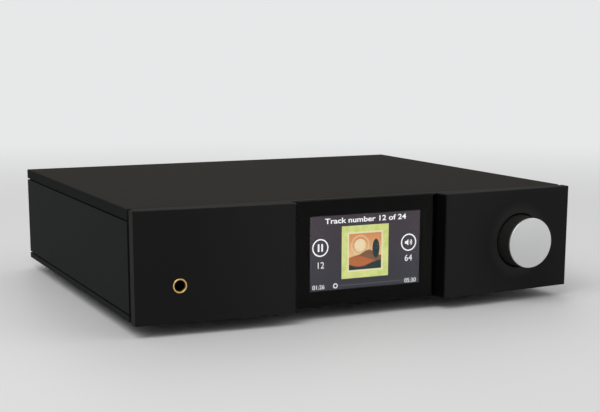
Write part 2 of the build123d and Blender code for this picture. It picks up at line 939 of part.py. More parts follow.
def base_plate():
    base = span(about(0, case_width), (shell_front_y, rear_y), (base_z, floor_z))
    rims = base.edges().filter_by(lambda e: e.center().Z < base_z + fine_break)
    rims = rims.filter_by(lambda e: e.center().Y > shell_front_y + fine_break)
    base = chamfer(rims, edge_break)
    low, high = base_z - cut_overrun, floor_z + cut_overrun
    for side in (-1, 1):
        x = side * (half_width - side_thickness / 2)
        for y in side_screw_places():
            base -= rod_z(x, y, (low, high), screw_radius + fit_gap)
            base -= rod_z(x, y, (low, base_z + screw_head_height + fine_break), screw_head_radius + fit_gap)
    for x, y in pillar_places():
        base -= rod_z(x, y, (low, high), tie_radius + fit_gap)
        base -= rod_z(x, y, (low, base_z + tie_head_height), tie_head_radius + fit_gap)
    for x, y in foot_places():
        base -= rod_z(x, y, (low, high), tie_radius + slip_gap)
    for x in lip_screw_places():
        base -= rod_z(x, lip_screw_y(), (base_z + fit_gap - slip_gap, high), screw_radius + slip_gap)
    for x, y in toroid_places():
        base -= rod_z(x, y, (low, high), toroid_bolt_radius + slip_gap)
    return base


def side_panel():
    """The left wall: its top and foot step back to leave the two shadow grooves."""
    outer, inner = -half_width, -inner_half
    wall = span((outer, inner), (shell_front_y, rear_y), (floor_z, ceiling_z))
    along = (shell_front_y - cut_overrun, rear_y + cut_overrun)
    strip = (outer - cut_overrun, outer + groove_depth)
    wall -= span(strip, along, (ceiling_z - lid_groove, ceiling_z + cut_overrun))
    wall -= span(strip, along, (floor_z - cut_overrun, floor_z + base_groove))
    rims = wall.edges().filter_by(Axis.Y).filter_by(lambda e: e.center().X < outer + fine_break)
    wall = chamfer(rims, fine_break)
    full_height = (floor_z - cut_overrun, ceiling_z + cut_overrun)
    rebate = (inner - rear_rebate, inner + cut_overrun)
    wall -= span(rebate, (rear_inner_y, rear_y + cut_overrun), full_height)
    tapped = (floor_z - cut_overrun, floor_z + screw_length - base_thickness + screw_head_height)
    for y in side_screw_places():
        wall -= rod_z(outer + side_thickness / 2, y, tapped, screw_radius + slip_gap)
    for z in rear_screw_heights():
        wall -= rod_y(-rear_screw_x(), (rear_inner_y - screw_length, rear_y), z, screw_radius + slip_gap)
    for x, y in pillar_places():
        wall -= rod_z(x, y, full_height, pillar_radius + fit_gap)
    return wall


def rear_screw_x():
    return inner_half + rear_rebate / 2


def rear_screw_heights():
    return (mid_z - case_height / 4, mid_z + case_height / 4)


def side_screws():
    seat = base_z + screw_head_height + fine_break
    length = screw_length - fit_gap
    places = [(side * (half_width - side_thickness / 2), y) for side in (-1, 1) for y in side_screw_places()]
    return [pan_screw_z(x, y, seat, length, up=-1) for x, y in places]


def cover_pillars():
    solids = []
    for x, y in pillar_places():
        pillar = rod_z(x, y, (floor_z, ceiling_z), pillar_radius)
        bore = rod_z(x, y, (floor_z - cut_overrun, ceiling_z + cut_overrun), tie_radius + slip_gap)
        solids.append(pillar - bore)
    return solids


def cover_tie_screws():
    """Long screws that come up from below through the pillars into the lid."""
    seat = base_z + tie_head_height
    length = top_z - lid_web - seat - fit_gap
    return [tie_screw(x, y, seat, length) for x, y in pillar_places()]


# Feet


def feet():
    solids = []
    pad_top = foot_pad_proud + foot_pad_depth
    for x, y in foot_places():
        foot = rod_z(x, y, (foot_pad_proud, base_z), foot_radius)
        foot = chamfer(foot.edges().filter_by(GeomType.CIRCLE), foot_bevel)
        foot -= rod_z(x, y, (0, pad_top), foot_pad_radius + slip_gap)
        foot -= rod_z(x, y, (0, base_z + cut_overrun), tie_radius + fit_gap)
        foot -= rod_z(x, y, (0, pad_top + tie_head_height), tie_head_radius + fit_gap)
        solids.append(foot)
    return group(solids)


def foot_pads():
    solids = []
    for x, y in foot_places():
        pad = rod_z(x, y, (0, foot_pad_proud + foot_pad_depth), foot_pad_radius)
        pad = chamfer(pad.edges().group_by(Axis.Z)[0], fine_break)
        solids.append(pad - rod_z(x, y, (-cut_overrun, base_z), tie_head_radius + fit_gap))
    return group(solids)


def foot_screws():
    seat = foot_pad_proud + foot_pad_depth + tie_head_height
    return [tie_screw(x, y, seat, floor_z - seat) for x, y in foot_places()]


# Transformers


def toroid_places():
    first_y = front_y + toroid_front_gap + toroid_radius
    for index in range(2):
        yield -toroid_offset, first_y + index * (2 * toroid_radius + toroid_gap)


def toroid_levels():
    """Heights of the lower pad, winding, upper pad, clamp plate and nut."""
    pad = floor_z + toroid_pad_thickness
    winding = pad + toroid_height
    upper = winding + toroid_pad_thickness
    return floor_z, pad, winding, upper, upper + clamp_thickness


def toroid_winding(x, y):
    _, low, high, _, _ = toroid_levels()
    ring = rod_z(x, y, (low, high), toroid_radius)
    ring = fillet(ring.edges().filter_by(GeomType.CIRCLE), toroid_round)
    ring -= rod_z(x, y, (low - cut_overrun, high + cut_overrun), toroid_hole_radius)
    bore_rims = ring.edges().filter_by(GeomType.CIRCLE)
    bore_rims = bore_rims.filter_by(lambda e: e.radius < toroid_hole_radius + fine_break)
    return fillet(bore_rims, toroid_round / 2)


def transformer_pads():
    floor, low, high, upper, _ = toroid_levels()
    solids = []
    for x, y in toroid_places():
        for span_z in ((floor, low), (high, upper)):
            pad = rod_z(x, y, span_z, toroid_pad_radius if span_z[0] == floor else clamp_radius)
            solids.append(pad - rod_z(x, y, (0, top_z), toroid_bolt_radius + fit_gap))
    return group(solids)


def transformer_clamps():
    _, _, _, low, high = toroid_levels()
    solids = []
    for x, y in toroid_places():
        plate = rod_z(x, y, (low, high), clamp_radius)
        plate = chamfer(plate.edges().group_by(Axis.Z)[-1], clamp_dish)
        solids.append(plate - rod_z(x, y, (0, top_z), toroid_bolt_radius + fit_gap))
    return group(solids)


def transformer_bolts():
    _, _, _, _, seat = toroid_levels()
    solids = []
    for x, y in toroid_places():
        shank = rod_z(x, y, (base_z + fit_gap, seat), toroid_bolt_radius)
        head = rod_z(x, y, (seat, seat + toroid_nut_height), toroid_nut_radius)
        head = chamfer(head.edges().group_by(Axis.Z)[-1], fine_break)
        key = rod_z(x, y, (seat + toroid_nut_height / 2, top_z), toroid_nut_radius / 2)
        solids.append(shank + head - key)
    return solids


# Boards


def board_limits(name):
    """The X, Y and Z limits of a board that lies flat."""
    high = (high_board_z, high_board_z + board_thickness)
    low = (low_board_z, low_board_z + board_thickness)
    digital_x = about(digital_board_centre, digital_board_width)
    analogue_x = (analogue_board_left, inner_half - analogue_board_side_gap)
    return {
        "digital": (digital_x, (digital_board_front_y, board_rear_y), high),
        "power": ((power_board_left, power_board_right), (power_board_front_y, power_board_rear_y), low),
        "analogue": (analogue_x, (board_rear_y - analogue_board_depth, board_rear_y), low),
    }[name]


def standoff_places(name):
    x, y, z = board_limits(name)
    for px in (x[0] + standoff_inset, x[1] - standoff_inset):
        for py in (y[0] + standoff_inset, y[1] - standoff_inset):
            yield px, py, z[0], z[1]


def board(name):
    plate = span(*board_limits(name))
    for x, y, low, high in standoff_places(name):
        plate -= rod_z(x, y, (low - cut_overrun, high + cut_overrun), screw_radius + fit_gap)
    return plate


def board_standoffs():
    solids = []
    for name in ("digital", "power", "analogue"):
        for x, y, low, _ in standoff_places(name):
            post = rod_z(x, y, (floor_z, low), standoff_radius)
            tapped = (low - low_standoff + fit_gap, low + cut_overrun)
            solids.append(post - rod_z(x, y, tapped, screw_radius + slip_gap))
    return solids


def board_screws():
    solids = []
    for name in ("digital", "power", "analogue"):
        for x, y, _, high in standoff_places(name):
            solids.append(pan_screw_z(x, y, high, board_thickness + low_standoff - 2 * fit_gap))
    return solids


def board_place(name, shares):
    """A place on a board's upper face, from shares of its width and depth."""
    x, y, z = board_limits(name)
    return x[0] + shares[0] * (x[1] - x[0]), y[0] + shares[1] * (y[1] - y[0]), z[1]


def block_row(name, shares, count, size, gap):
    """Equal blocks side by side on a board, along X, from a first place."""
    width, depth, height = size
    x, y, z = board_place(name, shares)
    centres = [x + index * (width + gap) for index in range(count)]
    return [span(about(centre, width), about(y, depth), (z, z + height)) for centre in centres]


def can_row(name, shares, count, radius, height, gap, along=(1, 0)):
    """Equal upright cans in a row on a board, with a broken top edge."""
    x, y, z = board_place(name, shares)
    pitch = 2 * radius + gap
    cans = []
    for index in range(count):
        can = rod_z(x + along[0] * index * pitch, y + along[1] * index * pitch, (z, z + height), radius)
        cans.append(chamfer(can.edges().group_by(Axis.Z)[-1], fine_break))
    return cans


def reservoir_capacitors():
    start_share = reservoir_start / (power_board_right - power_board_left)
    rows = []
    for row_share in (0.23, 0.45):
        shares = (start_share, row_share)
        rows += can_row("power", shares, 3, reservoir_radius, reservoir_height, can_gap)
    return rows


def small_capacitors():
    left_share, right_share, power_share, digital_share = (0.2, 0.22), (0.62, 0.22), (0.12, 0.66), (0.1, 0.2)
    cans = can_row("analogue", left_share, 5, can_radius, can_height, can_gap, (0, 1))
    cans += can_row("analogue", right_share, 5, can_radius, can_height, can_gap, (0, 1))
    cans += can_row("power", power_share, 6, can_radius, can_height, can_gap)
    cans += can_row("digital", digital_share, 3, can_radius, can_height, can_gap)
    return cans


def fin_block(centre_x, centre_y, base_level, size, fins):
    """A finned cooler: a base plate with upright fins along Y."""
    width, depth, height = size
    base = span(about(centre_x, width), about(centre_y, depth), (base_level, base_level + fin_base))
    pitch = (width - fin_thickness) / (fins - 1)
    first = centre_x - width / 2 + fin_thickness / 2
    for index in range(fins):
        fin_z = (base_level + fin_base - slip_gap, base_level + height)
        base += span(about(first + index * pitch, fin_thickness), about(centre_y, depth), fin_z)
    return base


def coolers():
    x, y, z = board_place("power", rectifier_share)
    size = (rectifier_cooler_width, rectifier_cooler_depth, rectifier_cooler_height)
    rectifier = fin_block(x, y, z, size, rectifier_fins)
    x, y, z = board_place("digital", processor_share)
    size = (processor_cooler_side, processor_cooler_side, processor_cooler_height)
    return group([rectifier, fin_block(x, y, z + chip_thickness, size, processor_fins)])


def chips():
    """The flat black packages on the boards."""
    memory_share, bridge_share = (0.68, 0.3), (0.68, 0.62)
    left_share, right_share, driver_share = (0.36, 0.42), (0.36, 0.66), (0.8, 0.42)
    processor = (processor_side, processor_side, chip_thickness)
    square = (chip_side, chip_side, chip_thickness)
    oblong = (chip_side, chip_side * 2 / 3, chip_thickness)
    solids = block_row("digital", processor_share, 1, processor, can_gap)
    solids += block_row("digital", memory_share, 2, oblong, can_gap)
    solids += block_row("digital", bridge_share, 2, square, can_gap)
    for shares in (left_share, right_share, driver_share):
        solids += block_row("analogue", shares, 1, square, can_gap)
    return solids


def relays():
    """Output relays in a row in front of the balanced sockets."""
    row_share = (0.24, 0.77)
    return block_row("analogue", row_share, 4, (relay_width, relay_depth, relay_height), can_gap)


def header_places():
    """Plug-in headers: board name and shares of its width and depth."""
    return [
        ("power", power_in_share),
        ("power", power_out_share),
        ("digital", digital_in_share),
        ("analogue", analogue_in_share),
        ("analogue", headphone_share),
    ]


def board_headers():
    solids = []
    for name, shares in header_places():
        solids += block_row(name, shares, 1, (header_width, header_depth, header_height), can_gap)
    return group(solids)


def wireless_module():
    """The screened radio card at the left of the digital board."""
    x, y, z = board_place("digital", wireless_share)
    card = span(about(x, wireless_width), about(y, wireless_depth), (z, z + board_thickness))
    low = z + board_thickness
    screen = span(
        about(x, wireless_width - 2 * board_thickness),
        about(y, wireless_depth - 2 * board_thickness),
        (low, low + wireless_screen_height),
    )
    return card + chamfer(screen.edges().group_by(Axis.Z)[-1], fine_break)


# Leads inside the case


def lead(points, radius=None):
    """A round lead along straight runs, with arcs as large as the runs allow."""
    radius = radius or lead_radius
    vectors = [Vector(*point) for point in points]
    bends = []
    for before, corner, after in zip(vectors, vectors[1:], vectors[2:]):
        into, out = corner - before, after - corner
        half_turn = radians(into.get_angle(out)) / 2
        bends.append(bend_share * min(into.length, out.length) / tan(half_turn))
    path = FilletPolyline(*vectors, radius=bends)
    section = Plane(origin=path @ 0, z_dir=path % 0) * Circle(radius)
    return sweep(section, path)


def mains_leads():
    """Live and neutral leads from the inlet to the switch, and on to the nearer winding."""
    solids = []
    tab_y = rear_inner_y - inlet_body_depth - inlet_tab_length
    switch_y = rear_inner_y - switch_body_depth
    winding_x, winding_y = list(toroid_places())[-1]
    for side in (-1, 1):
        x = inlet_offset + side * inlet_blade_pitch / 2
        z = inlet_z - inlet_earth_lift / 2
        end_x = switch_offset + side * switch_body_width / 4
        lane_y = tab_y - lead_run + side * lead_spacing
        lane_z = mid_z - side * lead_spacing
        feed = [(x, tab_y, z), (x, lane_y, z), (end_x, lane_y, lane_z), (end_x, switch_y, lane_z)]
        solids.append(lead(feed))
        low_z = mid_z - switch_body_height / 3
        near_x = switch_offset + side * lead_spacing
        edge_y = winding_y + toroid_radius
        far_x = winding_x + side * lead_spacing
        output = [
            (near_x, switch_y, low_z),
            (near_x, switch_y - lead_run, low_z),
            (far_x, edge_y + lead_run, low_z),
            (far_x, edge_y, low_z),
        ]
        solids.append(lead(output))
    return solids


def transformer_leads():
    """Pairs of leads from each winding's side along the board's edge to its header."""
    solids = []
    header_x, header_y, header_z = board_place("power", power_in_share)
    top = header_z + header_height
    edge_x = board_limits("power")[0][0]
    for index in range(4):
        x, y = list(toroid_places())[index // 2]
        level = top + lead_run / 2 + index * lead_spacing
        end_x = header_x + (index - 3 / 2) * header_width / 5
        points = [
            (x + toroid_radius, y, level),
            (edge_x, y, level),
            (edge_x, header_y, level),
            (end_x, header_y, level),
            (end_x, header_y, top),
        ]
        solids.append(lead(points))
    return solids


def supply_leads():
    """Leads from the power board's rear header to the digital and analogue boards."""
    solids = []
    x, y, z = board_place("power", power_out_share)
    for name, shares, side in (("digital", digital_in_share, -1), ("analogue", analogue_in_share, 1)):
        far_x, far_y, far_z = board_place(name, shares)
        for step in (-1, 1):
            start_x = x + side * header_width / 4 + step * header_width / 8
            end_x = far_x + step * header_width / 8
            points = [
                (start_x, y, z + header_height),
                (start_x, y, supply_lead_z),
                (end_x, far_y, supply_lead_z),
                (end_x, far_y, far_z + header_height),
            ]
            solids.append(lead(points))
    return solids


def aerial_leads():
    """Thin screened leads from the aerial sockets to the wireless module."""
    solids = []
    x, y, z = board_place("digital", wireless_share)
    module_top = z + board_thickness + wireless_screen_height
    tail_y = rear_inner_y - aerial_tail
    for side, (far_x, far_z) in zip((-1, 1), aerial_places()):
        end_x = x + side * wireless_width / 4
        points = [
            (far_x, tail_y, far_z),
            (far_x, tail_y - lead_run, far_z),
            (end_x, y, module_top + lead_run),
            (end_x, y, module_top),
        ]
        solids.append(lead(points, aerial_lead_radius))
    return solids


def control_lead():
    """The lead from the encoder's board to the back of the display's board."""
    x = knob_offset - encoder_board_width / 4
    z = mid_z - encoder_board_height / 4
    header_y = encoder_back_y + board_thickness + header_height / 2
    board_y = recess_floor_y + lcd_thickness + board_thickness
    end_x = display_board_width / 3
    lane_y = header_y + lead_run
    return lead([(x, header_y, z), (x, lane_y, z), (end_x, lane_y, z), (end_x, board_y, z)])


def headphone_lead():
    """The lead that crosses the case from the analogue board to the headphone board."""
    x, y, z = board_place("analogue", headphone_share)
    end_y = subframe_back_y + fit_gap + headphone_board_depth - header_depth / 2
    end_z = jack_z - jack_body_height / 2 + header_height
    points = [
        (x, y, z + header_height),
        (x, y, ceiling_z - signal_lead_drop),
        (-jack_offset, end_y, ceiling_z - signal_lead_drop),
        (-jack_offset, end_y, end_z),
    ]
    return lead(points, signal_lead_radius)


def internal_leads():
    pairs = [*mains_leads(), *transformer_leads(), *supply_leads(), *aerial_leads()]
    return group([*pairs, control_lead(), headphone_lead()])


def display_ribbon():
    """The flat cable from the display board, over the power board, to the digital board."""
    x, far_y, far_z = board_place("digital", ribbon_share)
    start_y = recess_floor_y + lcd_thickness + board_thickness
    start_z = mid_z - display_board_height / 4
    half = ribbon_thickness / 2
    inner = FilletPolyline(
        (0, start_y, start_z),
        (0, start_y + ribbon_bend * 4, start_z),
        (0, start_y + ribbon_bend * 4, ribbon_z),
        (0, far_y, ribbon_z),
        (0, far_y, far_z + ribbon_plug_height),
        radius=ribbon_bend,
    )
    section = Plane(origin=inner @ 0, z_dir=inner % 0, x_dir=(1, 0, 0)) * Rectangle(ribbon_width, 2 * half)
    strip = Pos(x, 0, 0) * sweep(section, inner)
    plug = span(
        about(x, ribbon_width + 2 * ribbon_thickness),
        about(far_y, ribbon_plug_depth),
        (far_z, far_z + ribbon_plug_height),
    )
    return group([strip, plug])


# Sockets on the rear plate


def rear_plate():
    plate = span(
        about(0, 2 * (inner_half + rear_rebate - fit_gap)),
        (rear_inner_y, rear_outer_y),
        (floor_z, ceiling_z),
    )
    through = (rear_inner_y - cut_overrun, rear_outer_y + cut_overrun)
    for side in (-1, 1):
        for z in rear_screw_heights():
            plate -= rod_y(side * rear_screw_x(), through, z, screw_radius + fit_gap)
    for x in (xlr_left_offset, xlr_right_offset, xlr_input_offset):
        plate -= rod_y(x, through, xlr_z, xlr_barrel_radius + fit_gap)
        for px, pz in xlr_screw_places(x):
            plate -= rod_y(px, through, pz, screw_radius + slip_gap)
    plate -= latch_slot(through)
    for x, z in phono_places():
        plate -= rod_y(x, through, z, phono_thread_radius + fit_gap)
    for x, z in aerial_places():
        plate -= rod_y(x, through, z, aerial_shank_radius + slip_gap)
    for x, z, width, height in port_windows():
        plate -= span(about(x, width + 2 * rear_cut_gap), through, about(z, height + 2 * rear_cut_gap))
    for x, width, height in (
        (switch_offset, switch_body_width, switch_body_height),
        (inlet_offset, inlet_body_width, inlet_body_height),
    ):
        plate -= span(about(x, width + 2 * fit_gap), through, about(mid_z, height + 2 * fit_gap))
    for x in inlet_screw_places():
        plate -= rod_y(x, through, mid_z, screw_radius + slip_gap)
    return plate


def port_windows():
    """Centre and size of each rectangular data socket."""
    yield usb_b_offset, port_floor_z + usb_b_height / 2, usb_b_width, usb_b_height
    yield lan_offset, port_floor_z + lan_height / 2, lan_width, lan_height
    yield optical_offset, optical_z(), optical_width, optical_height
    for x in usb_offsets:
        yield x, port_floor_z + usb_height / 2, usb_width, usb_height


def optical_z():
    return port_floor_z + optical_height / 2


def rear_screws():
    length = rear_thickness + screw_length - fit_gap
    places = [(side * rear_screw_x(), z) for side in (-1, 1) for z in rear_screw_heights()]
    return [pan_screw_y(x, z, rear_outer_y, length) for x, z in places]


def xlr_screw_places(x):
    half_x, half_z = xlr_screw_across / 2, xlr_screw_up / 2
    return [(x - half_x, xlr_z + half_z), (x + half_x, xlr_z - half_z)]


def xlr_shell(x, bore_radius):
    """Flange and barrel of a balanced socket, with its round cavity."""
    back = rear_inner_y - xlr_barrel_depth
    flange_y = (rear_outer_y, rear_outer_y + xlr_flange_thickness)
    flange = round_slab((x, xlr_flange_width), flange_y, (xlr_z, xlr_flange_height), xlr_flange_corner)
    flange = chamfer(flange.edges().group_by(Axis.Y)[-1], fine_break)
    shell = flange + rod_y(x, (back, flange_y[0]), xlr_z, xlr_barrel_radius)
    mouth = flange_y[1]
    shell -= rod_y(x, (mouth - xlr_bore_depth, mouth + cut_overrun), xlr_z, bore_radius)
    for px, pz in xlr_screw_places(x):
        shell -= rod_y(px, (rear_inner_y, mouth + cut_overrun), pz, screw_radius + slip_gap)
    return shell


def xlr_floor_y():
    return rear_outer_y + xlr_flange_thickness - xlr_bore_depth


def xlr_output_shells():
    return group(xlr_shell(x, xlr_bore_radius) for x in (xlr_left_offset, xlr_right_offset))


def xlr_pin_places(x):
    across = xlr_pin_circle * cos(radians(xlr_side_pin_lift))
    up = xlr_pin_circle * sin(radians(xlr_side_pin_lift))
    return [(x - across, xlr_z - up), (x + across, xlr_z - up), (x, xlr_z - xlr_pin_circle)]


def xlr_output_pins():
    solids = []
    for x in (xlr_left_offset, xlr_right_offset):
        for px, pz in xlr_pin_places(x):
            pin = rod_y(px, (xlr_floor_y(), xlr_floor_y() + xlr_pin_length), pz, xlr_pin_radius)
            tip = pin.edges().group_by(Axis.Y)[-1]
            solids.append(fillet(tip, xlr_pin_radius / 2))
    return group(solids)


def xlr_input_shell():
    shell = xlr_shell(xlr_input_offset, xlr_input_bore_radius)
    mouth = rear_outer_y + xlr_flange_thickness
    return shell - latch_slot((mouth - latch_depth - latch_travel - fit_gap, mouth + cut_overrun))


def latch_slot(y):
    return span(
        about(xlr_input_offset, latch_width + 2 * fit_gap),
        y,
        about(xlr_z + latch_rise, latch_height + 2 * fit_gap),
    )


def xlr_input_insert():
    """The insulating core of the balanced input, with three contact holes."""
    front = rear_outer_y + xlr_flange_thickness - xlr_insert_set_back
    core = rod_y(xlr_input_offset, (xlr_floor_y(), front), xlr_z, xlr_insert_radius)
    core = chamfer(core.edges().group_by(Axis.Y)[-1], edge_break)
    for px, pz in xlr_pin_places(xlr_input_offset):
        hole_z = 2 * xlr_z - pz
        core -= rod_y(px, (xlr_floor_y() + fine_break, front + cut_overrun), hole_z, xlr_contact_radius)
    return core


def xlr_latch():
    """The release tab above the balanced input, pressed inwards."""
    mouth = rear_outer_y + xlr_flange_thickness
    tab = span(
        about(xlr_input_offset, latch_width),
        (mouth - latch_depth, mouth + latch_stand_out),
        about(xlr_z + latch_rise, latch_height),
    )
    return fillet(tab.edges().group_by(Axis.Y)[-1], edge_break)


def xlr_screws():
    seat = rear_outer_y + xlr_flange_thickness
    length = xlr_flange_thickness + rear_thickness + screw_length / 3
    places = [p for x in (xlr_left_offset, xlr_right_offset, xlr_input_offset) for p in xlr_screw_places(x)]
    return [pan_screw_y(px, pz, seat, length) for px, pz in places]


def phono_out_places():
    return [(phono_out_offset, mid_z - phono_pitch / 2), (phono_out_offset, mid_z + phono_pitch / 2)]


def coax_place():
    return coax_offset, optical_z() + phono_pitch


def phono_places():
    return [*phono_out_places(), coax_place()]


def phono_sockets():
    solids = []
    for x, z in phono_places():
        tip = rear_y + socket_reach
        flange_y = (rear_outer_y, rear_outer_y + phono_flange_thickness)
        socket = rod_y(x, flange_y, z, phono_flange_radius)
        socket = chamfer(socket.edges().group_by(Axis.Y)[-1], fine_break)
        barrel = rod_y(x, (flange_y[1], tip), z, phono_barrel_radius)
        barrel = chamfer(barrel.edges().group_by(Axis.Y)[-1], fine_break)
        socket += barrel
        socket += rod_y(x, (rear_inner_y - phono_tail, flange_y[0]), z, phono_thread_radius)
        bore_y = (rear_inner_y - phono_tail - cut_overrun, tip + cut_overrun)
        solids.append(socket - rod_y(x, bore_y, z, phono_bore_radius))
    return group(solids)


def phono_insulator(x, z):
    tip = rear_y + socket_reach - phono_insulator_set_back
    core = rod_y(x, (rear_inner_y - phono_tail, tip), z, phono_bore_radius - slip_gap)
    return core - rod_y(x, (rear_outer_y, tip + cut_overrun), z, phono_contact_radius)


def phono_nuts():
    solids = []
    for x, z in phono_places():
        nut = hexagon_y(x, (rear_inner_y - phono_nut_thickness, rear_inner_y), z, 2 * phono_nut_radius)
        cutter = rod_y(x, (rear_inner_y - phono_tail, rear_outer_y), z, phono_thread_radius + slip_gap)
        solids.append(nut - cutter)
    return solids


def usb_a_shells():
    solids = []
    for x in usb_offsets:
        z = port_floor_z + usb_height / 2
        mouth = rear_outer_y + port_stand_out
        outer = span(about(x, usb_width), (mouth - usb_depth, mouth), about(z, usb_height))
        outer -= span(
            about(x, usb_width - 2 * usb_wall),
            (mouth - usb_depth + usb_wall, mouth + cut_overrun),
            about(z, usb_height - 2 * usb_wall),
        )
        solids.append(outer)
    return solids


def usb_a_tongues():
    solids = []
    for x in usb_offsets:
        z = port_floor_z + usb_height / 2
        back = rear_outer_y + port_stand_out - usb_depth + usb_wall
        low = z + usb_height / 2 - 2 * usb_wall - usb_tongue_height
        inside_x, inside_z = about(x, usb_width - 3 * usb_wall), about(z, usb_height - 3 * usb_wall)
        root = (inside_x, (back, back + usb_depth / 4), inside_z)
        tip = (about(x, usb_tongue_width), (back, back + usb_tongue_reach), (low, low + usb_tongue_height))
        solids.append(span(*root) + span(*tip))
    return solids


def usb_b_shell():
    z = port_floor_z + usb_b_height / 2
    mouth = rear_outer_y + port_stand_out
    shell = span(about(usb_b_offset, usb_b_width), (mouth - usb_b_depth, mouth), about(z, usb_b_height))
    room = span(
        about(usb_b_offset, usb_b_mouth_width),
        (mouth - usb_b_mouth_depth, mouth + cut_overrun),
        about(z, usb_b_mouth_height),
    )
    upper = room.edges().filter_by(Axis.Y).filter_by(lambda e: e.center().Z > z)
    return shell - chamfer(upper, usb_b_mouth_height / 4)


def usb_b_tongue():
    z = port_floor_z + usb_b_height / 2
    back = rear_outer_y + port_stand_out - usb_b_mouth_depth
    return span(
        about(usb_b_offset, usb_b_tongue_width),
        (back, back + usb_b_mouth_depth - usb_b_wall),
        about(z, usb_b_tongue_height),
    )


def network_socket():
    mouth = rear_outer_y + port_stand_out
    z = (port_floor_z, port_floor_z + lan_height)
    shell = span(about(lan_offset, lan_width), (mouth - lan_depth, mouth), z)
    room_z = (z[0] + lan_floor + lan_key_height, z[0] + lan_floor + lan_key_height + lan_mouth_height)
    inside = (mouth - lan_mouth_depth, mouth + cut_overrun)
    shell -= span(about(lan_offset, lan_mouth_width), inside, room_z)
    return shell - span(about(lan_offset, lan_key_width), inside, (z[0] + lan_floor, room_z[0] + slip_gap))


def network_contacts():
    """Eight spring contacts along the roof of the network socket."""
    roof = port_floor_z + lan_floor + lan_key_height + lan_mouth_height
    back = rear_outer_y + port_stand_out - lan_mouth_depth
    first = lan_offset - lan_contact_pitch * 7 / 2
    return [
        span(
            about(first + index * lan_contact_pitch, lan_contact_width),
            (back, back + lan_mouth_depth * 2 / 3),
            (roof - lan_contact_height, roof),
        )
        for index in range(8)
    ]


def optical_socket():
    mouth = rear_outer_y + port_stand_out
    width, height = about(optical_offset, optical_width), about(optical_z(), optical_height)
    shell = span(width, (mouth - optical_depth, mouth), height)
    shell = chamfer(shell.edges().filter_by(Axis.Y), fine_break)
    return shell - span(
        about(optical_offset, optical_mouth_width),
        (mouth - optical_mouth_depth, mouth + cut_overrun),
        about(optical_z(), optical_mouth_height),
    )


def shutter_axis():
    """Y and Z of the optical shutter's hinge line."""
    y = rear_outer_y + port_stand_out - shutter_set_back - shutter_knuckle_radius
    z = optical_z() + optical_mouth_height / 2 - shutter_gap - shutter_knuckle_radius
    return y, z


def optical_shutter():
    y, z = shutter_axis()
    width = optical_mouth_width - 2 * shutter_gap
    low = optical_z() - optical_mouth_height / 2 + shutter_gap
    front = y + shutter_knuckle_radius
    flap = span(about(optical_offset, width), (front - shutter_thickness, front), (low, z))
    return flap + rod_x(about(optical_offset, width), y, z, shutter_knuckle_radius)


def aerial_places():
    return [(x, mid_z + aerial_rise) for x in aerial_offsets]


def aerial_sockets():
    solids = []
    for x, z in aerial_places():
        tip = rear_outer_y + aerial_stud_reach
        shoulder = rear_outer_y + aerial_nut_thickness
        stud = rod_y(x, (shoulder, tip), z, aerial_stud_radius)
        stud = chamfer(stud.edges().group_by(Axis.Y)[-1], fine_break)
        stud += rod_y(x, (rear_inner_y - aerial_tail, shoulder), z, aerial_shank_radius)
        stud += rod_y(x, (rear_inner_y - aerial_tail / 2, rear_inner_y), z, aerial_collar_radius)
        stud -= rod_y(x, (tip - aerial_bore_depth, tip + cut_overrun), z, aerial_bore_radius)
        stud += rod_y(x, (tip - aerial_bore_depth, tip - fine_break), z, aerial_pin_radius)
        solids.append(stud)
    return group(solids)


def aerial_nuts():
    solids = []
    for x, z in aerial_places():
        nut_y = (rear_outer_y, rear_outer_y + aerial_nut_thickness)
        nut = hexagon_y(x, nut_y, z, 2 * aerial_nut_radius)
        along = (rear_inner_y, rear_outer_y + aerial_stud_reach)
        cutter = rod_y(x, along, z, aerial_shank_radius + slip_gap)
        solids.append(nut - cutter)
    return solids


# Mains switch and inlet


def switch_housing():
    front = rear_outer_y + switch_bezel_thickness
    width, height = (switch_offset, switch_bezel_width), (mid_z, switch_bezel_height)
    bezel = round_slab(width, (rear_outer_y, front), height, switch_bezel_thickness)
    bezel = chamfer(bezel.edges().group_by(Axis.Y)[-1], edge_break)
    body = span(
        about(switch_offset, switch_body_width),
        (rear_inner_y - switch_body_depth, rear_outer_y),
        about(mid_z, switch_body_height),
    )
    room = span(
        about(switch_offset, switch_mouth_width),
        (front - switch_mouth_depth, front + cut_overrun),
        about(mid_z, switch_mouth_height),
    )
    reach = about(switch_offset, rocker_pin_reach + 2 * fit_gap)
    return bezel + body - room - rod_x(reach, rocker_pivot_y(), mid_z, rocker_pin_radius + slip_gap)


def rocker_pivot_y():
    return rear_outer_y + switch_bezel_thickness - rocker_pivot_depth


def power_rocker():
    """The rocker, with its upper half pressed in, as when the mains is on."""
    half = rocker_height / 2
    outline = Curve() + [
        Line((-rocker_depth, -half), (-rocker_depth, half)),
        Line((-rocker_depth, half), (rocker_crest, half)),
        ThreePointArc((rocker_crest, half), (0, 0), (rocker_crest, -half)),
        Line((rocker_crest, -half), (-rocker_depth, -half)),
    ]
    narrow = Pos(rocker_pin_radius + rocker_crest / 2, 0) * make_face(outline)
    body = extrude(Plane.YZ * narrow, rocker_width / 2, both=True)
    body = chamfer(body.edges().filter_by(Axis.X).group_by(Axis.Y)[0], rocker_pin_radius)
    body += rod_x(about(0, rocker_pin_reach), 0, 0, rocker_pin_radius)
    return Pos(switch_offset, rocker_pivot_y(), mid_z) * Rot(rocker_tilt, 0, 0) * body


def inlet_screw_places():
    return [inlet_offset - inlet_screw_pitch / 2, inlet_offset + inlet_screw_pitch / 2]


def inlet_face_y():
    return rear_outer_y + inlet_flange_thickness


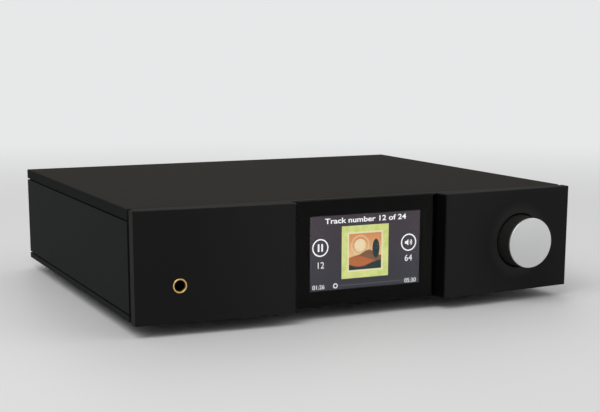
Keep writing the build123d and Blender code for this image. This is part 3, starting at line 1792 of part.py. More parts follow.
def inlet_housing():
    front = inlet_face_y()
    width, height = (inlet_offset, inlet_flange_width), (mid_z, inlet_flange_height)
    flange = round_slab(width, (rear_outer_y, front), height, inlet_flange_corner)
    flange = chamfer(flange.edges().group_by(Axis.Y)[-1], edge_break)
    body = span(
        about(inlet_offset, inlet_body_width),
        (rear_inner_y - inlet_body_depth, rear_outer_y),
        about(mid_z, inlet_body_height),
    )
    room = span(
        about(inlet_offset, inlet_mouth_width),
        (front - inlet_mouth_depth, front + cut_overrun),
        about(inlet_z, inlet_mouth_height),
    )
    bevels = room.edges().filter_by(Axis.Y).filter_by(lambda e: e.center().Z > inlet_z)
    room = chamfer(bevels, inlet_mouth_bevel)
    housing = flange + body - room
    housing -= span(
        about(inlet_offset, drawer_width + 2 * fit_gap),
        (front - drawer_depth - fit_gap, front + cut_overrun),
        about(drawer_z, drawer_height + 2 * fit_gap),
    )
    for x, z in inlet_blade_places():
        housing -= inlet_blade(x, z, slip_gap)
    for x in inlet_screw_places():
        housing -= rod_y(x, (rear_inner_y, front + cut_overrun), mid_z, screw_radius + slip_gap)
    return housing


def inlet_blade_places():
    """The live and neutral blades below, and the earth blade between and above them."""
    line_z = inlet_z - inlet_earth_lift / 2
    return [
        (inlet_offset - inlet_blade_pitch / 2, line_z),
        (inlet_offset + inlet_blade_pitch / 2, line_z),
        (inlet_offset, line_z + inlet_earth_lift),
    ]


def inlet_blade(x, z, extra):
    tip = inlet_face_y() - inlet_mouth_depth + inlet_blade_length
    tail = rear_inner_y - inlet_body_depth - inlet_tab_length
    return span(about(x, inlet_blade_width + extra), (tail, tip), about(z, inlet_blade_height + extra))


def inlet_blades():
    """Blades that run through the housing's floor and end in tabs behind it."""
    blades = [inlet_blade(x, z, 0) for x, z in inlet_blade_places()]
    return group(chamfer(blade.edges().group_by(Axis.Y)[-1], fine_break) for blade in blades)


def inlet_screws():
    length = inlet_flange_thickness + rear_thickness + screw_length / 3
    return [pan_screw_y(x, mid_z, inlet_face_y(), length) for x in inlet_screw_places()]


def fuse_drawer():
    front = inlet_face_y()
    width, height = about(inlet_offset, drawer_width), about(drawer_z, drawer_height)
    tray = span(width, (front - drawer_depth, front + drawer_lip), height)
    lip = span(
        about(inlet_offset, drawer_width + 2 * drawer_lip_margin),
        (front + slip_gap, front + drawer_lip),
        about(drawer_z, drawer_height + 2 * drawer_lip_margin),
    )
    cradle = span(
        about(inlet_offset, 2 * (fuse_radius + fit_gap)),
        about(front - drawer_depth / 2, fuse_length + 2 * fit_gap),
        (drawer_z - fuse_radius, drawer_z + drawer_height),
    )
    return tray + lip - cradle


def mains_fuse():
    front = inlet_face_y()
    low, high = about(front - drawer_depth / 2, fuse_length)
    tube = rod_y(inlet_offset, (low, high), drawer_z, fuse_radius - fine_break)
    for cap in ((low, low + fuse_cap_length), (high - fuse_cap_length, high)):
        tube += rod_y(inlet_offset, cap, drawer_z, fuse_radius)
    return tube


def inner_screws():
    return group([*front_panel_screws(), *subframe_screws(), *board_screws()])


def base_screws():
    return group([*side_screws(), *cover_tie_screws(), *foot_screws(), *transformer_bolts()])


def rear_plate_screws():
    return group([*rear_screws(), *xlr_screws(), *inlet_screws()])


def socket_nuts():
    return group([*phono_nuts(), *aerial_nuts(), encoder_nut()])


def make_parts():
    wall = side_panel()
    return {
        "front_panel": front_panel(),
        "window_cheeks": group([window_cheek(), other_side(window_cheek())]),
        "display_glass": display_glass(),
        "display_mask": display_mask(),
        "display_panel": display_panel(),
        "display_board": display_board(),
        "display_ribbon": display_ribbon(),
        "front_subframe": subframe(),
        "inner_screws": inner_screws(),
        "knob_body": knob_body(),
        "knob_face": knob_cap(),
        "knob_set_screw": knob_set_screw(),
        "encoder_shaft": encoder_shaft(),
        "encoder_plunger": encoder_plunger(),
        "encoder_housing": encoder_housing(),
        "headphone_ferrule": headphone_ferrule(),
        "headphone_jack": headphone_jack(),
        "front_control_boards": group([encoder_board(), headphone_board()]),
        "top_cover": top_cover(),
        "base_plate": base_plate(),
        "left_side_panel": wall,
        "right_side_panel": other_side(wall),
        "rear_plate": rear_plate(),
        "pillars_and_standoffs": group([*cover_pillars(), *board_standoffs()]),
        "base_screws": base_screws(),
        "rear_plate_screws": rear_plate_screws(),
        "feet": feet(),
        "foot_pads": foot_pads(),
        "transformers": group(toroid_winding(x, y) for x, y in toroid_places()),
        "transformer_pads": transformer_pads(),
        "transformer_clamps": transformer_clamps(),
        "digital_board": board("digital"),
        "power_board": board("power"),
        "analogue_board": board("analogue"),
        "capacitors": group([*reservoir_capacitors(), *small_capacitors()]),
        "coolers": coolers(),
        "chips_and_relays": group([*chips(), *relays()]),
        "board_headers": board_headers(),
        "wireless_module": wireless_module(),
        "internal_leads": internal_leads(),
        "socket_nuts": socket_nuts(),
        "xlr_output_shells": xlr_output_shells(),
        "xlr_output_pins": xlr_output_pins(),
        "xlr_input_shell": xlr_input_shell(),
        "xlr_input_insert": xlr_input_insert(),
        "xlr_latch": xlr_latch(),
        "phono_sockets": phono_sockets(),
        "phono_insulators": group(phono_insulator(x, z) for x, z in phono_places()),
        "usb_sockets": group([*usb_a_shells(), *usb_a_tongues(), usb_b_shell(), usb_b_tongue()]),
        "network_socket": group([network_socket(), *network_contacts()]),
        "optical_socket": optical_socket(),
        "optical_shutter": optical_shutter(),
        "aerial_sockets": aerial_sockets(),
        "switch_housing": switch_housing(),
        "power_rocker": power_rocker(),
        "inlet_housing": inlet_housing(),
        "inlet_blades": inlet_blades(),
        "fuse_drawer": fuse_drawer(),
        "mains_fuse": mains_fuse(),
    }


if __name__ == "__main__":
    os.makedirs("parts", exist_ok=True)
    for node, shape in make_parts().items():
        export_step(shape, f"parts/{node}.step")
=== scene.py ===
import bpy
import bmesh
import json
import math
from mathutils import Matrix, Vector


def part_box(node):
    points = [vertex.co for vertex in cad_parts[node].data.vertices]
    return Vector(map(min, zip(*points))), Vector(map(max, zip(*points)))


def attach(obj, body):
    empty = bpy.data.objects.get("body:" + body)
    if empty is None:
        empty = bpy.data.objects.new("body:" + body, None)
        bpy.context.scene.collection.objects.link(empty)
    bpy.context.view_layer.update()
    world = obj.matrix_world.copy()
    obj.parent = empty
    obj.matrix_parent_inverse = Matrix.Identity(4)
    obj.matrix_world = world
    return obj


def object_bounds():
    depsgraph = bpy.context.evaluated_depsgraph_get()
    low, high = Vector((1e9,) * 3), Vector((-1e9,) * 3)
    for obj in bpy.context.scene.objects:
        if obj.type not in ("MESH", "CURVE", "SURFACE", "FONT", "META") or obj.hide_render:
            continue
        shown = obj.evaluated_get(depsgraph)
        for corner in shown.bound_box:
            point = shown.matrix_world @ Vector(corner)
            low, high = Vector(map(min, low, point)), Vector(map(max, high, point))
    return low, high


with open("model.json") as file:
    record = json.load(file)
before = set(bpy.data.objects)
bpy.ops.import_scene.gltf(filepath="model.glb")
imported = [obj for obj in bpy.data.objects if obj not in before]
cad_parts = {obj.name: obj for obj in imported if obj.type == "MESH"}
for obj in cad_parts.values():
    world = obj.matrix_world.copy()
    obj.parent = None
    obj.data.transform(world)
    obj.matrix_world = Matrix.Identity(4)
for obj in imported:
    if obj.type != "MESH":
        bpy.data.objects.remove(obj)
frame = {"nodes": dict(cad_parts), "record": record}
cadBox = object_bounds()
nodes = frame["nodes"]
halfWidth = cadBox[1][0]
caseTop = cadBox[1][2]
print("frame loaded,", len(nodes), "nodes")


# shader nodes written as sums
class Wire:
    def __init__(self, paint, socket):
        self.paint = paint
        self.socket = socket

    def math(self, operation, *others):
        return self.paint.calc(operation, self, *others)

    def __add__(self, other):
        return self.math("ADD", other)

    def __sub__(self, other):
        return self.math("SUBTRACT", other)

    def __mul__(self, other):
        return self.math("MULTIPLY", other)

    def __truediv__(self, other):
        return self.math("DIVIDE", other)

    def __pow__(self, other):
        return self.math("POWER", other)

    def __rsub__(self, other):
        return self.paint.calc("SUBTRACT", other, self)

    def __rtruediv__(self, other):
        return self.paint.calc("DIVIDE", other, self)

    def __rpow__(self, other):
        return self.paint.calc("POWER", other, self)

    __radd__ = __add__
    __rmul__ = __mul__


class Paint:
    def __init__(self, name, world=False):
        self.owner = (bpy.data.worlds if world else bpy.data.materials).new(name)
        self.end = "ShaderNodeOutputWorld" if world else "ShaderNodeOutputMaterial"
        self.owner.use_nodes = True
        self.tree = self.owner.node_tree
        self.tree.nodes.clear()

    def add(self, kind, settings=None, values=None, output=0):
        node = self.tree.nodes.new(kind)
        for key, value in (settings or {}).items():
            setattr(node, key, value)
        for key, value in (values or {}).items():
            if isinstance(value, Wire):
                self.tree.links.new(value.socket, node.inputs[key])
            elif isinstance(value, tuple) and len(value) == 3 and node.inputs[key].type == "RGBA":
                node.inputs[key].default_value = (*value, 1.0)
            else:
                node.inputs[key].default_value = value
        return Wire(self, node.outputs[output]) if len(node.outputs) else node

    def calc(self, operation, *values):
        return self.add("ShaderNodeMath", {"operation": operation}, dict(enumerate(values)))

    def place(self):
        return self.add("ShaderNodeTexCoord", output="Object")

    def axis(self, letter):
        return self.add("ShaderNodeSeparateXYZ", {}, {0: self.place()}, letter)

    def noise(self, scale, detail=3.0, rough=0.6, stretch=None):
        spot = self.place()
        if stretch:
            spot = self.add("ShaderNodeVectorMath", {"operation": "MULTIPLY"}, {0: spot, 1: stretch})
        return self.add("ShaderNodeTexNoise", {}, {
            "Vector": spot, "Scale": scale, "Detail": detail, "Roughness": rough})

    def cloud(self, scale):
        return self.noise(scale, 2.0, 0.5)

    def blend(self, factor, low, high):
        return self.add("ShaderNodeMix", {"data_type": "RGBA"}, {0: factor, 6: low, 7: high}, 2)

    def tint(self, colour, factor):
        return self.add("ShaderNodeVectorMath", {"operation": "SCALE"}, {0: colour, 3: factor})

    def step(self, value, low, high):
        return self.add("ShaderNodeMapRange", {"interpolation_type": "SMOOTHSTEP"}, {
            0: value, 1: low, 2: high})

    def bump(self, height, strength, depth, normal=None):
        values = {"Height": height, "Strength": strength, "Distance": depth}
        if normal:
            values["Normal"] = normal
        return self.add("ShaderNodeBump", {}, values)

    def softEdge(self, radius):
        return self.add("ShaderNodeBevel", {"samples": 4}, {"Radius": radius})

    def ringsAbout(self, x, z):
        across = self.axis("X") - x
        up = self.axis("Z") - z
        return (across * across + up * up).math("SQRT")

    def shownRay(self):
        # 1 for what the camera sees, directly or in metal and glass
        camera, glossy, through = (
            self.add("ShaderNodeLightPath", output=f"Is {kind} Ray")
            for kind in ("Camera", "Glossy", "Transmission"))
        return camera.math("MAXIMUM", glossy).math("MAXIMUM", through)

    def shader(self, values):
        return self.close(self.add("ShaderNodeBsdfPrincipled", {}, values))

    def close(self, wire):
        self.add(self.end, {}, {"Surface": wire})
        return self.owner


def weigh(shares, *wires):
    # the first share stands alone, and the others each scale a wire
    total = shares[0]
    for share, wire in zip(shares[1:], wires):
        total = wire * share + total
    return total


def middleOf(name):
    # x and z of a node's middle, as seen from the front
    low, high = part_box(name)
    return (low[0] + high[0]) / 2, (low[2] + high[2]) / 2


def dress(paint, *names):
    for name in names:
        nodes[name].data.materials.clear()
        nodes[name].data.materials.append(paint)


# knob: satin black body, turned silver face
knob = {
    "silver": (0.64, 0.645, 0.64), "silverRough": 0.36, "ringPitch": 0.00016, "ringStart": (0.0006, 0.003),
    "drift": 1400.0, "haze": 60.0, "dust": 5200.0,
    "silverTone": (0.95, 0.06, 0.012, 0.03),    # plain, haze, groove, dust
    "silverWear": (0.0, 0.05, 0.04),            # plain, haze, dust
    "silverHeight": (0.0, 0.35, 0.4, 0.5),      # plain, groove, drift, dust
    "silverBump": (0.16, 0.00001),
    "black": (0.017, 0.0163, 0.0150), "blackRough": 0.36, "shine": 0.45, "turnPitch": 0.0002,
    "grain": 3000.0, "blackHaze": 40.0,
    "blackTone": (0.88, 0.14, 0.1),             # plain, grain, haze
    "blackWear": (0.0, 0.06, 0.01),             # plain, haze, groove
    "blackHeight": (0.0, 0.3, 1.0),             # plain, groove, grain
    "blackBump": (0.12, 0.00002), "edgeRadius": 0.00025,
}
knobMiddle = middleOf("knob_body")


def turnedSilver():
    p = Paint("turned_silver")
    radius = p.ringsAbout(*knobMiddle)
    groove = (radius * (2 * math.pi / knob["ringPitch"])).math("SINE") * p.step(radius, *knob["ringStart"])
    drift = p.noise(knob["drift"], 2.0)
    haze = p.cloud(knob["haze"])
    dust = p.noise(knob["dust"], 1.0, 0.5)
    return p.shader({
        "Base Color": p.tint(knob["silver"], weigh(knob["silverTone"], haze, groove, dust)),
        "Metallic": 1.0,
        "Roughness": knob["silverRough"] + weigh(knob["silverWear"], haze, dust),
        "Normal": p.bump(weigh(knob["silverHeight"], groove, drift, dust), *knob["silverBump"]),
    })


def satinBlack():
    p = Paint("knob_black")
    along = p.ringsAbout(*knobMiddle) + p.axis("Y")
    groove = (along * (2 * math.pi / knob["turnPitch"])).math("SINE")
    grain = p.noise(knob["grain"], 2.0)
    haze = p.cloud(knob["blackHaze"])
    height = weigh(knob["blackHeight"], groove, grain)
    return p.shader({
        "Base Color": p.tint(knob["black"], weigh(knob["blackTone"], grain, haze)),
        "Roughness": knob["blackRough"] + weigh(knob["blackWear"], haze, groove),
        "Specular IOR Level": knob["shine"],
        "Normal": p.bump(height, *knob["blackBump"], p.softEdge(knob["edgeRadius"])),
    })


dress(turnedSilver(), "knob_face")
dress(satinBlack(), "knob_body")
print("knob painted")


# black anodised and textured metal of the case
shell = {
    "front": {"colour": (0.0092, 0.0094, 0.0092), "rough": 0.60, "shine": 0.07, "grain": 2600.0,
              "depth": 0.00003},
    "lid": {"colour": (0.0195, 0.0177, 0.0146), "rough": 0.86, "shine": 0.03, "grain": 1900.0,
            "depth": 0.00005},
    "side": {"colour": (0.0105, 0.0118, 0.0112), "rough": 0.76, "shine": 0.06, "grain": 1900.0,
             "depth": 0.00005},
    "cloud": 9.0, "speckShare": 0.45, "bump": 0.35, "edgeRadius": 0.00035,
    "tone": (0.86, 0.16, 0.12),                 # plain, cloud, grain
    "wear": (-0.07, 0.06, 0.08),                # plain, cloud, speck
    # top face: its lighter colour is a painted highlight, its added roughness a duller surface
    "topHighlightAndDull": {"colour": (0.0175, 0.0168, 0.0150), "below": (0.0002, 0.00002), "rough": 0.3},
    "flank": {"colour": (0.0118, 0.0130, 0.0124), "inside": (0.0006, 0.0001)},
    # these two brighten the front's colour: painted light round the knob and near the window
    "paintedKnobGlow": {"span": (0.0202, 0.0300), "gain": 1.5},
    "paintedBowSheen": {"span": (0.055, 0.150), "gain": 0.55},
}


def frontFinishAndPaintedLight(p, colour, tone, rough):
    # painted light: lighter colour round the knob's well stands in for light the knob throws there, and
    # lighter colour near the window for light the bowed panel catches
    near = 1 - p.step(p.ringsAbout(*knobMiddle), *shell["paintedKnobGlow"]["span"])
    paintedBowSheen = 1 - p.step(p.axis("X").math("ABSOLUTE"), *shell["paintedBowSheen"]["span"])
    colour = p.tint(colour, 1 + near * shell["paintedKnobGlow"]["gain"] + paintedBowSheen * shell["paintedBowSheen"]["gain"])
    # the top face gets a lighter colour, a painted highlight, and more roughness, so it is duller
    topHighlight = shell["topHighlightAndDull"]
    top = p.step(p.axis("Z"), *(caseTop - below for below in topHighlight["below"]))
    return p.blend(top, colour, p.tint(topHighlight["colour"], tone)), rough + top * topHighlight["rough"]


def lidSideTone(p, colour, tone, rough):
    # the lid's outermost side faces take a darker, greener colour than its top
    flank = p.step(p.axis("X").math("ABSOLUTE"), *(halfWidth - inside for inside in shell["flank"]["inside"]))
    return p.blend(flank, colour, p.tint(shell["flank"]["colour"], tone)), rough


def shellPaint(name, spec, tonesAndPaintedLight=None):
    p = Paint(name)
    grain = p.noise(spec["grain"], rough=0.65)
    cloud = p.cloud(shell["cloud"])
    speck = p.noise(spec["grain"] * shell["speckShare"], 1.0, 0.5)
    tone = weigh(shell["tone"], cloud, grain)
    colour = p.tint(spec["colour"], tone)
    rough = spec["rough"] + weigh(shell["wear"], cloud, speck)
    if tonesAndPaintedLight:
        colour, rough = tonesAndPaintedLight(p, colour, tone, rough)
    return p.shader({
        "Base Color": colour,
        "Roughness": rough,
        "Specular IOR Level": spec["shine"],
        "Normal": p.bump(grain, shell["bump"], spec["depth"], p.softEdge(shell["edgeRadius"])),
    })


dress(shellPaint("black_anodised_front", shell["front"], frontFinishAndPaintedLight), "front_panel")
dress(shellPaint("black_lid", shell["lid"], lidSideTone), "top_cover")
dress(shellPaint("black_shell", shell["side"]), "left_side_panel", "right_side_panel", "base_plate",
      "rear_plate")
print("case painted")


# plated, drawn and blackened metals
metals = {
    "gold_plate": {"colour": (0.80, 0.53, 0.20), "rough": 0.24, "grain": 2400.0,
                   "nodes": ("phono_sockets", "aerial_sockets", "xlr_output_pins")},
    "nickel_plate": {"colour": (0.62, 0.60, 0.56), "rough": 0.28, "grain": 2200.0,
                     "nodes": ("socket_nuts", "inlet_blades")},
    "tinned_shield": {"colour": (0.56, 0.56, 0.55), "rough": 0.34, "grain": 1600.0,
                      "stretch": (1.0, 0.2, 1.0), "nodes": ("usb_sockets", "network_socket")},
    "ground_steel": {"colour": (0.60, 0.60, 0.60), "rough": 0.30, "grain": 3200.0,
                     "stretch": (1.0, 0.1, 1.0), "nodes": ("encoder_shaft",)},
    "black_oxide": {"colour": (0.035, 0.034, 0.033), "rough": 0.42, "grain": 1800.0,
                    "nodes": ("inner_screws", "base_screws", "rear_plate_screws", "knob_set_screw")},
    "foot_black": {"colour": (0.040, 0.040, 0.041), "rough": 0.40, "grain": 2200.0,
                   "stretch": (1.0, 1.0, 4.0), "nodes": ("feet",)},
    "cooler_black": {"colour": (0.060, 0.060, 0.062), "rough": 0.50, "grain": 1500.0,
                     "stretch": (1.0, 0.2, 1.0), "nodes": ("coolers",)},
    "latch_metal": {"colour": (0.55, 0.55, 0.54), "rough": 0.30, "grain": 2000.0, "nodes": ("xlr_latch",)},
}
plating = {
    "smudge": 130.0, "bump": (0.14, 0.00002), "edgeRadius": 0.00012,
    "tone": (0.86, 0.14, 0.12),                 # plain, smudge, grain
    "wear": (-0.06, 0.12, 0.06),                # plain, smudge, grain
}
zinc = {
    "colour": (0.50, 0.51, 0.50), "rough": 0.32, "flake": 170.0, "scratch": 500.0,
    "stretch": (1.0, 1.0, 0.05),
    "tone": (0.8, 0.22, 0.08),                  # plain, flake, scratch
    "wear": (0.0, 0.16, 0.06),                  # plain, flake, scratch
    "bump": (0.1, 0.00003), "edgeRadius": 0.0002,
}
# inside: the throat's dark colour, painted shade
ferrule = {"inside": (0.030, 0.021, 0.010), "lip": (0.0036, 0.0042), "throatRough": 0.2, "tone": (0.9, 0.16),
           "wear": 0.05}


def metalPaint(name, spec):
    p = Paint(name)
    grain = p.noise(spec["grain"], stretch=spec.get("stretch"))
    smudge = p.noise(plating["smudge"])
    return p.shader({
        "Base Color": p.tint(spec["colour"], weigh(plating["tone"], smudge, grain)),
        "Metallic": 1.0,
        "Roughness": spec["rough"] + weigh(plating["wear"], smudge, grain),
        "Normal": p.bump(grain, *plating["bump"], p.softEdge(plating["edgeRadius"])),
    })


def spangledZinc():
    p = Paint("zinc_sheet")
    flake = p.add("ShaderNodeTexVoronoi", {}, {"Vector": p.place(), "Scale": zinc["flake"]}, "Color")
    shade = p.add("ShaderNodeSeparateColor", {}, {0: flake}, "Red")
    scratch = p.noise(zinc["scratch"], stretch=zinc["stretch"])
    return p.shader({
        "Base Color": p.tint(zinc["colour"], weigh(zinc["tone"], shade, scratch)),
        "Metallic": 1.0,
        "Roughness": zinc["rough"] + weigh(zinc["wear"], shade, scratch),
        "Normal": p.bump(scratch, *zinc["bump"], p.softEdge(zinc["edgeRadius"])),
    })


def ferrulePaint():
    # gold on the rim, and a dark throat whose colour is painted shade for its dark reflections, with rougher
    # plating
    p = Paint("gold_ring")
    gold = metals["gold_plate"]
    grain = p.noise(gold["grain"])
    rim = p.step(p.ringsAbout(*middleOf("headphone_ferrule")), *ferrule["lip"])
    return p.shader({
        "Base Color": p.tint(p.blend(rim, ferrule["inside"], gold["colour"]), weigh(ferrule["tone"], grain)),
        "Metallic": 1.0,
        "Roughness": gold["rough"] + (1 - rim) * ferrule["throatRough"] + grain * ferrule["wear"],
        "Normal": p.bump(grain, *plating["bump"], p.softEdge(plating["edgeRadius"])),
    })


for name, spec in metals.items():
    dress(metalPaint(name, spec), *spec["nodes"])
dress(spangledZinc(), "front_subframe", "transformer_clamps", "pillars_and_standoffs")
dress(ferrulePaint(), "headphone_ferrule")
print("metals painted")


# mouldings, rubber, sleeves and print
mouldings = {
    "gloss_lining": {"colour": (0.0020, 0.0020, 0.0022), "rough": 0.34, "shine": 0.12, "grain": 900.0,
                     "depth": 0.000004, "nodes": ("window_cheeks",)},
    "mask_black": {"colour": (0.0185, 0.0185, 0.0183), "rough": 0.55, "shine": 0.3, "grain": 2500.0,
                   "depth": 0.000006, "nodes": ("display_mask", "display_panel")},
    "socket_black": {"colour": (0.016, 0.016, 0.017), "rough": 0.38, "shine": 0.45, "grain": 1500.0,
                     "depth": 0.00002,
                     "nodes": ("xlr_output_shells", "xlr_input_shell", "xlr_input_insert", "optical_socket",
                               "switch_housing", "inlet_housing", "fuse_drawer", "headphone_jack")},
    "rocker_black": {"colour": (0.020, 0.020, 0.021), "rough": 0.30, "shine": 0.5, "grain": 1900.0,
                     "depth": 0.000012, "nodes": ("power_rocker", "optical_shutter")},
    "moulded_grey": {"colour": (0.030, 0.030, 0.031), "rough": 0.50, "shine": 0.4, "grain": 1300.0,
                     "depth": 0.00002, "nodes": ("transformer_pads",)},
    "insulator_white": {"colour": (0.70, 0.69, 0.66), "rough": 0.42, "shine": 0.5, "grain": 1200.0,
                        "depth": 0.00001, "nodes": ("phono_insulators",)},
    "header_cream": {"colour": (0.74, 0.70, 0.58), "rough": 0.40, "shine": 0.5, "grain": 1200.0,
                     "depth": 0.00001, "nodes": ("board_headers",)},
    "pad_rubber": {"colour": (0.020, 0.020, 0.020), "rough": 0.85, "shine": 0.3, "grain": 1100.0,
                   "depth": 0.00006, "nodes": ("foot_pads",)},
    "capacitor_sleeve": {"colour": (0.012, 0.016, 0.050), "rough": 0.26, "shine": 0.5, "grain": 500.0,
                         "depth": 0.00001, "nodes": ("capacitors",)},
    "lead_sleeve": {"colour": (0.05, 0.05, 0.055), "rough": 0.45, "shine": 0.4, "grain": 700.0,
                    "depth": 0.00002, "nodes": ("internal_leads",)},
    "encoder_black": {"colour": (0.022, 0.022, 0.022), "rough": 0.44, "shine": 0.4, "grain": 1400.0,
                      "depth": 0.00002, "nodes": ("encoder_plunger", "encoder_housing")},
    "chip_black": {"colour": (0.028, 0.028, 0.029), "rough": 0.58, "shine": 0.35, "grain": 2600.0,
                   "depth": 0.00002, "nodes": ("chips_and_relays",)},
    "fuse_body": {"colour": (0.60, 0.62, 0.60), "rough": 0.18, "shine": 0.5, "grain": 600.0,
                  "depth": 0.00001, "nodes": ("mains_fuse",)},
    "ribbon_white": {"colour": (0.66, 0.68, 0.72), "rough": 0.42, "shine": 0.4, "grain": 900.0,
                     "depth": 0.00001, "nodes": ("display_ribbon",)},
}
moulding = {
    "cloud": 45.0, "bump": 0.3, "edgeRadius": 0.00015,
    "tone": (0.84, 0.18, 0.14),                 # plain, cloud, grain
    "wear": (-0.04, 0.05, 0.05),                # plain, cloud, grain
}


def mouldedPaint(name, spec):
    p = Paint(name)
    grain = p.noise(spec["grain"])
    cloud = p.cloud(moulding["cloud"])
    return p.shader({
        "Base Color": p.tint(spec["colour"], weigh(moulding["tone"], cloud, grain)),
        "Roughness": spec["rough"] + weigh(moulding["wear"], cloud, grain),
        "Specular IOR Level": spec["shine"],
        "Normal": p.bump(grain, moulding["bump"], spec["depth"], p.softEdge(moulding["edgeRadius"])),
    })


for name, spec in mouldings.items():
    dress(mouldedPaint(name, spec), *spec["nodes"])
print("mouldings painted")


# circuit boards: green resist, tracks under it, bare pads
board = {
    "colour": (0.010, 0.060, 0.030), "track": (0.018, 0.095, 0.045), "pad": (0.55, 0.52, 0.42),
    "pitch": 260.0, "stagger": 0.37, "trackLine": 0.16, "trackLength": 2.4, "trackPitch": 0.6,
    "padShare": 0.8, "padEdge": (0.16, 0.2), "padMetal": 0.8,
    "grain": 1500.0, "tone": (0.9, 0.2), "wear": (0.34, 0.08), "bump": (0.3, 0.00003),
}


def boardPaint():
    p = Paint("solder_resist")
    lane = p.add("ShaderNodeTexBrick", {"offset": board["stagger"]}, {
        "Vector": p.place(), "Scale": board["pitch"], "Mortar Size": board["trackLine"],
        "Brick Width": board["trackLength"], "Row Height": board["trackPitch"]}, "Fac")
    dots = p.add("ShaderNodeTexVoronoi", {}, {
        "Vector": p.place(), "Scale": board["pitch"] * board["padShare"]})
    pads = 1 - p.step(dots, *board["padEdge"])
    grain = p.noise(board["grain"], 2.0)
    resist = p.tint(p.blend(lane, board["colour"], board["track"]), weigh(board["tone"], grain))
    return p.shader({
        "Base Color": p.blend(pads, resist, board["pad"]),
        "Roughness": weigh(board["wear"], grain),
        "Metallic": pads * board["padMetal"],
        "Normal": p.bump(lane + pads, *board["bump"]),
    })


# toroids: wound with amber tape
winding = {
    "colour": (0.50, 0.28, 0.045), "turns": 46.0, "climb": 900.0, "lap": (0.86, 0.96), "fibre": 1300.0,
    "tone": (0.78, 0.2, -0.25),                 # plain, fibre, lap
    "wear": (0.30, 0.12), "coat": 0.4,
    "height": (0.0, 0.3, 1.0),                  # plain, fibre, lap
    "bump": (0.5, 0.00015),
}


def windingPaint():
    p = Paint("winding_tape")
    turn = p.axis("Y").math("ARCTAN2", p.axis("X") - middleOf("transformers")[0])
    wrap = (turn * winding["turns"] + p.axis("Z") * winding["climb"]).math("SINE")
    lap = p.step(wrap, *winding["lap"])
    fibre = p.noise(winding["fibre"])
    return p.shader({
        "Base Color": p.tint(winding["colour"], weigh(winding["tone"], fibre, lap)),
        "Roughness": weigh(winding["wear"], fibre),
        "Coat Weight": winding["coat"],
        "Normal": p.bump(weigh(winding["height"], fibre, lap), *winding["bump"]),
    })


dress(boardPaint(), "display_board", "front_control_boards", "digital_board", "power_board", "analogue_board",
      "wireless_module")
dress(windingPaint(), "transformers")
print("boards and windings painted")


# window glass
windowGlass = {"colour": (0.80, 0.80, 0.81), "bend": 1.22, "wave": 14.0, "tone": (0.97, 0.06)}


def glassPaint():
    p = Paint("window_glass")
    wave = p.noise(windowGlass["wave"], 1.0, 0.4)
    return p.shader({
        "Base Color": p.tint(windowGlass["colour"], weigh(windowGlass["tone"], wave)),
        "Roughness": 0.0,
        "IOR": windowGlass["bend"],
        "Transmission Weight": 1.0,
    })


dress(glassPaint(), "display_glass")


# the lit picture, on the front of the display; places on it are from its middle
screen = {
    "width": 0.0864, "height": 0.05184, "proud": 0.00003, "layer": 0.00002, "thickness": 0.00001,
    "ground": (0.043, 0.044, 0.055), "groundTop": (0.058, 0.045, 0.057), "glow": 1.0,
    "haze": 22.0, "cells": 9000.0,
    "groundTone": (0.90, 0.22, 0.16, 0.03),     # plain, edge, haze, cell
    "white": (1.0, 1.0, 1.0), "whiteGlow": 1.2, "grey": (0.15, 0.15, 0.18), "iconTone": (0.985, 0.03),
    "unlit": (0.004, 0.004, 0.004), "rough": 0.5, "shine": 0.1,
}
screenX, screenZ = middleOf("display_panel")
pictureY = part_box("display_panel")[0][1] - screen["proud"]
iconY = pictureY - screen["layer"]

cover = {
    "place": (-0.0005, -0.0004), "side": 0.0370, "border": 0.0045, "line": 0.0012, "lineSoft": 0.012,
    "frame": (0.66, 0.77, 0.22), "frameLight": (0.84, 0.89, 0.34), "trim": (0.95, 0.90, 0.52),
    "frameMottle": 160.0, "mottleSpan": (0.3, 0.7),
    "sky": (0.80, 0.33, 0.13), "skyLow": (0.95, 0.62, 0.30), "skySpan": (-0.25, 0.7),
    "sun": {"colour": (1.0, 0.84, 0.52), "place": (-0.22, 0.24), "edge": (0.23, 0.25),
            "ringInside": (0.33, 0.345), "ringOutside": (0.385, 0.40), "ringShare": 0.5},
    "hills": (
        {"colour": (0.24, 0.12, 0.060), "height": -0.10, "waves": ((4.1, 1.1, 0.12), (9.0, 0.0, 0.03))},
        {"colour": (0.56, 0.17, 0.055), "height": -0.30, "waves": ((3.0, 2.6, 0.13),)},
        {"colour": (0.022, 0.045, 0.050), "height": -0.48, "waves": ((3.6, -0.7, 0.10),)},
    ),
    "hillSoft": 0.02,
    "tree": {"colour": (0.022, 0.045, 0.050), "place": (0.46, 0.08), "squeeze": (9.0, 1.6),
             "edge": (0.44, 0.48), "leaves": 900.0, "leafSpan": (0.28, 0.36)},
    "grain": 420.0, "tone": (0.80, 0.40),
}


def litPaint(p, glow, strength):
    return p.shader({
        "Base Color": screen["unlit"],
        "Roughness": screen["rough"],
        "Specular IOR Level": screen["shine"],
        "Emission Color": glow,
        "Emission Strength": strength,
    })


def cells(p):
    return p.add("ShaderNodeTexChecker", {}, {"Vector": p.place(), "Scale": screen["cells"]}, "Fac")


def iconPaint(name, colour, strength):
    p = Paint(name)
    return litPaint(p, p.tint(colour, weigh(screen["iconTone"], cells(p))), strength)


def groundPaint():
    p = Paint("screen_ground")
    rise = p.step(p.axis("Z"), screenZ - screen["height"] / 2, screenZ + screen["height"] / 2)
    edge = (p.axis("X") - screenX).math("ABSOLUTE") / (screen["width"] / 2)
    tone = weigh(screen["groundTone"], edge ** 3, p.cloud(screen["haze"]), cells(p))
    return litPaint(p, p.tint(p.blend(rise, screen["ground"], screen["groundTop"]), tone), screen["glow"])


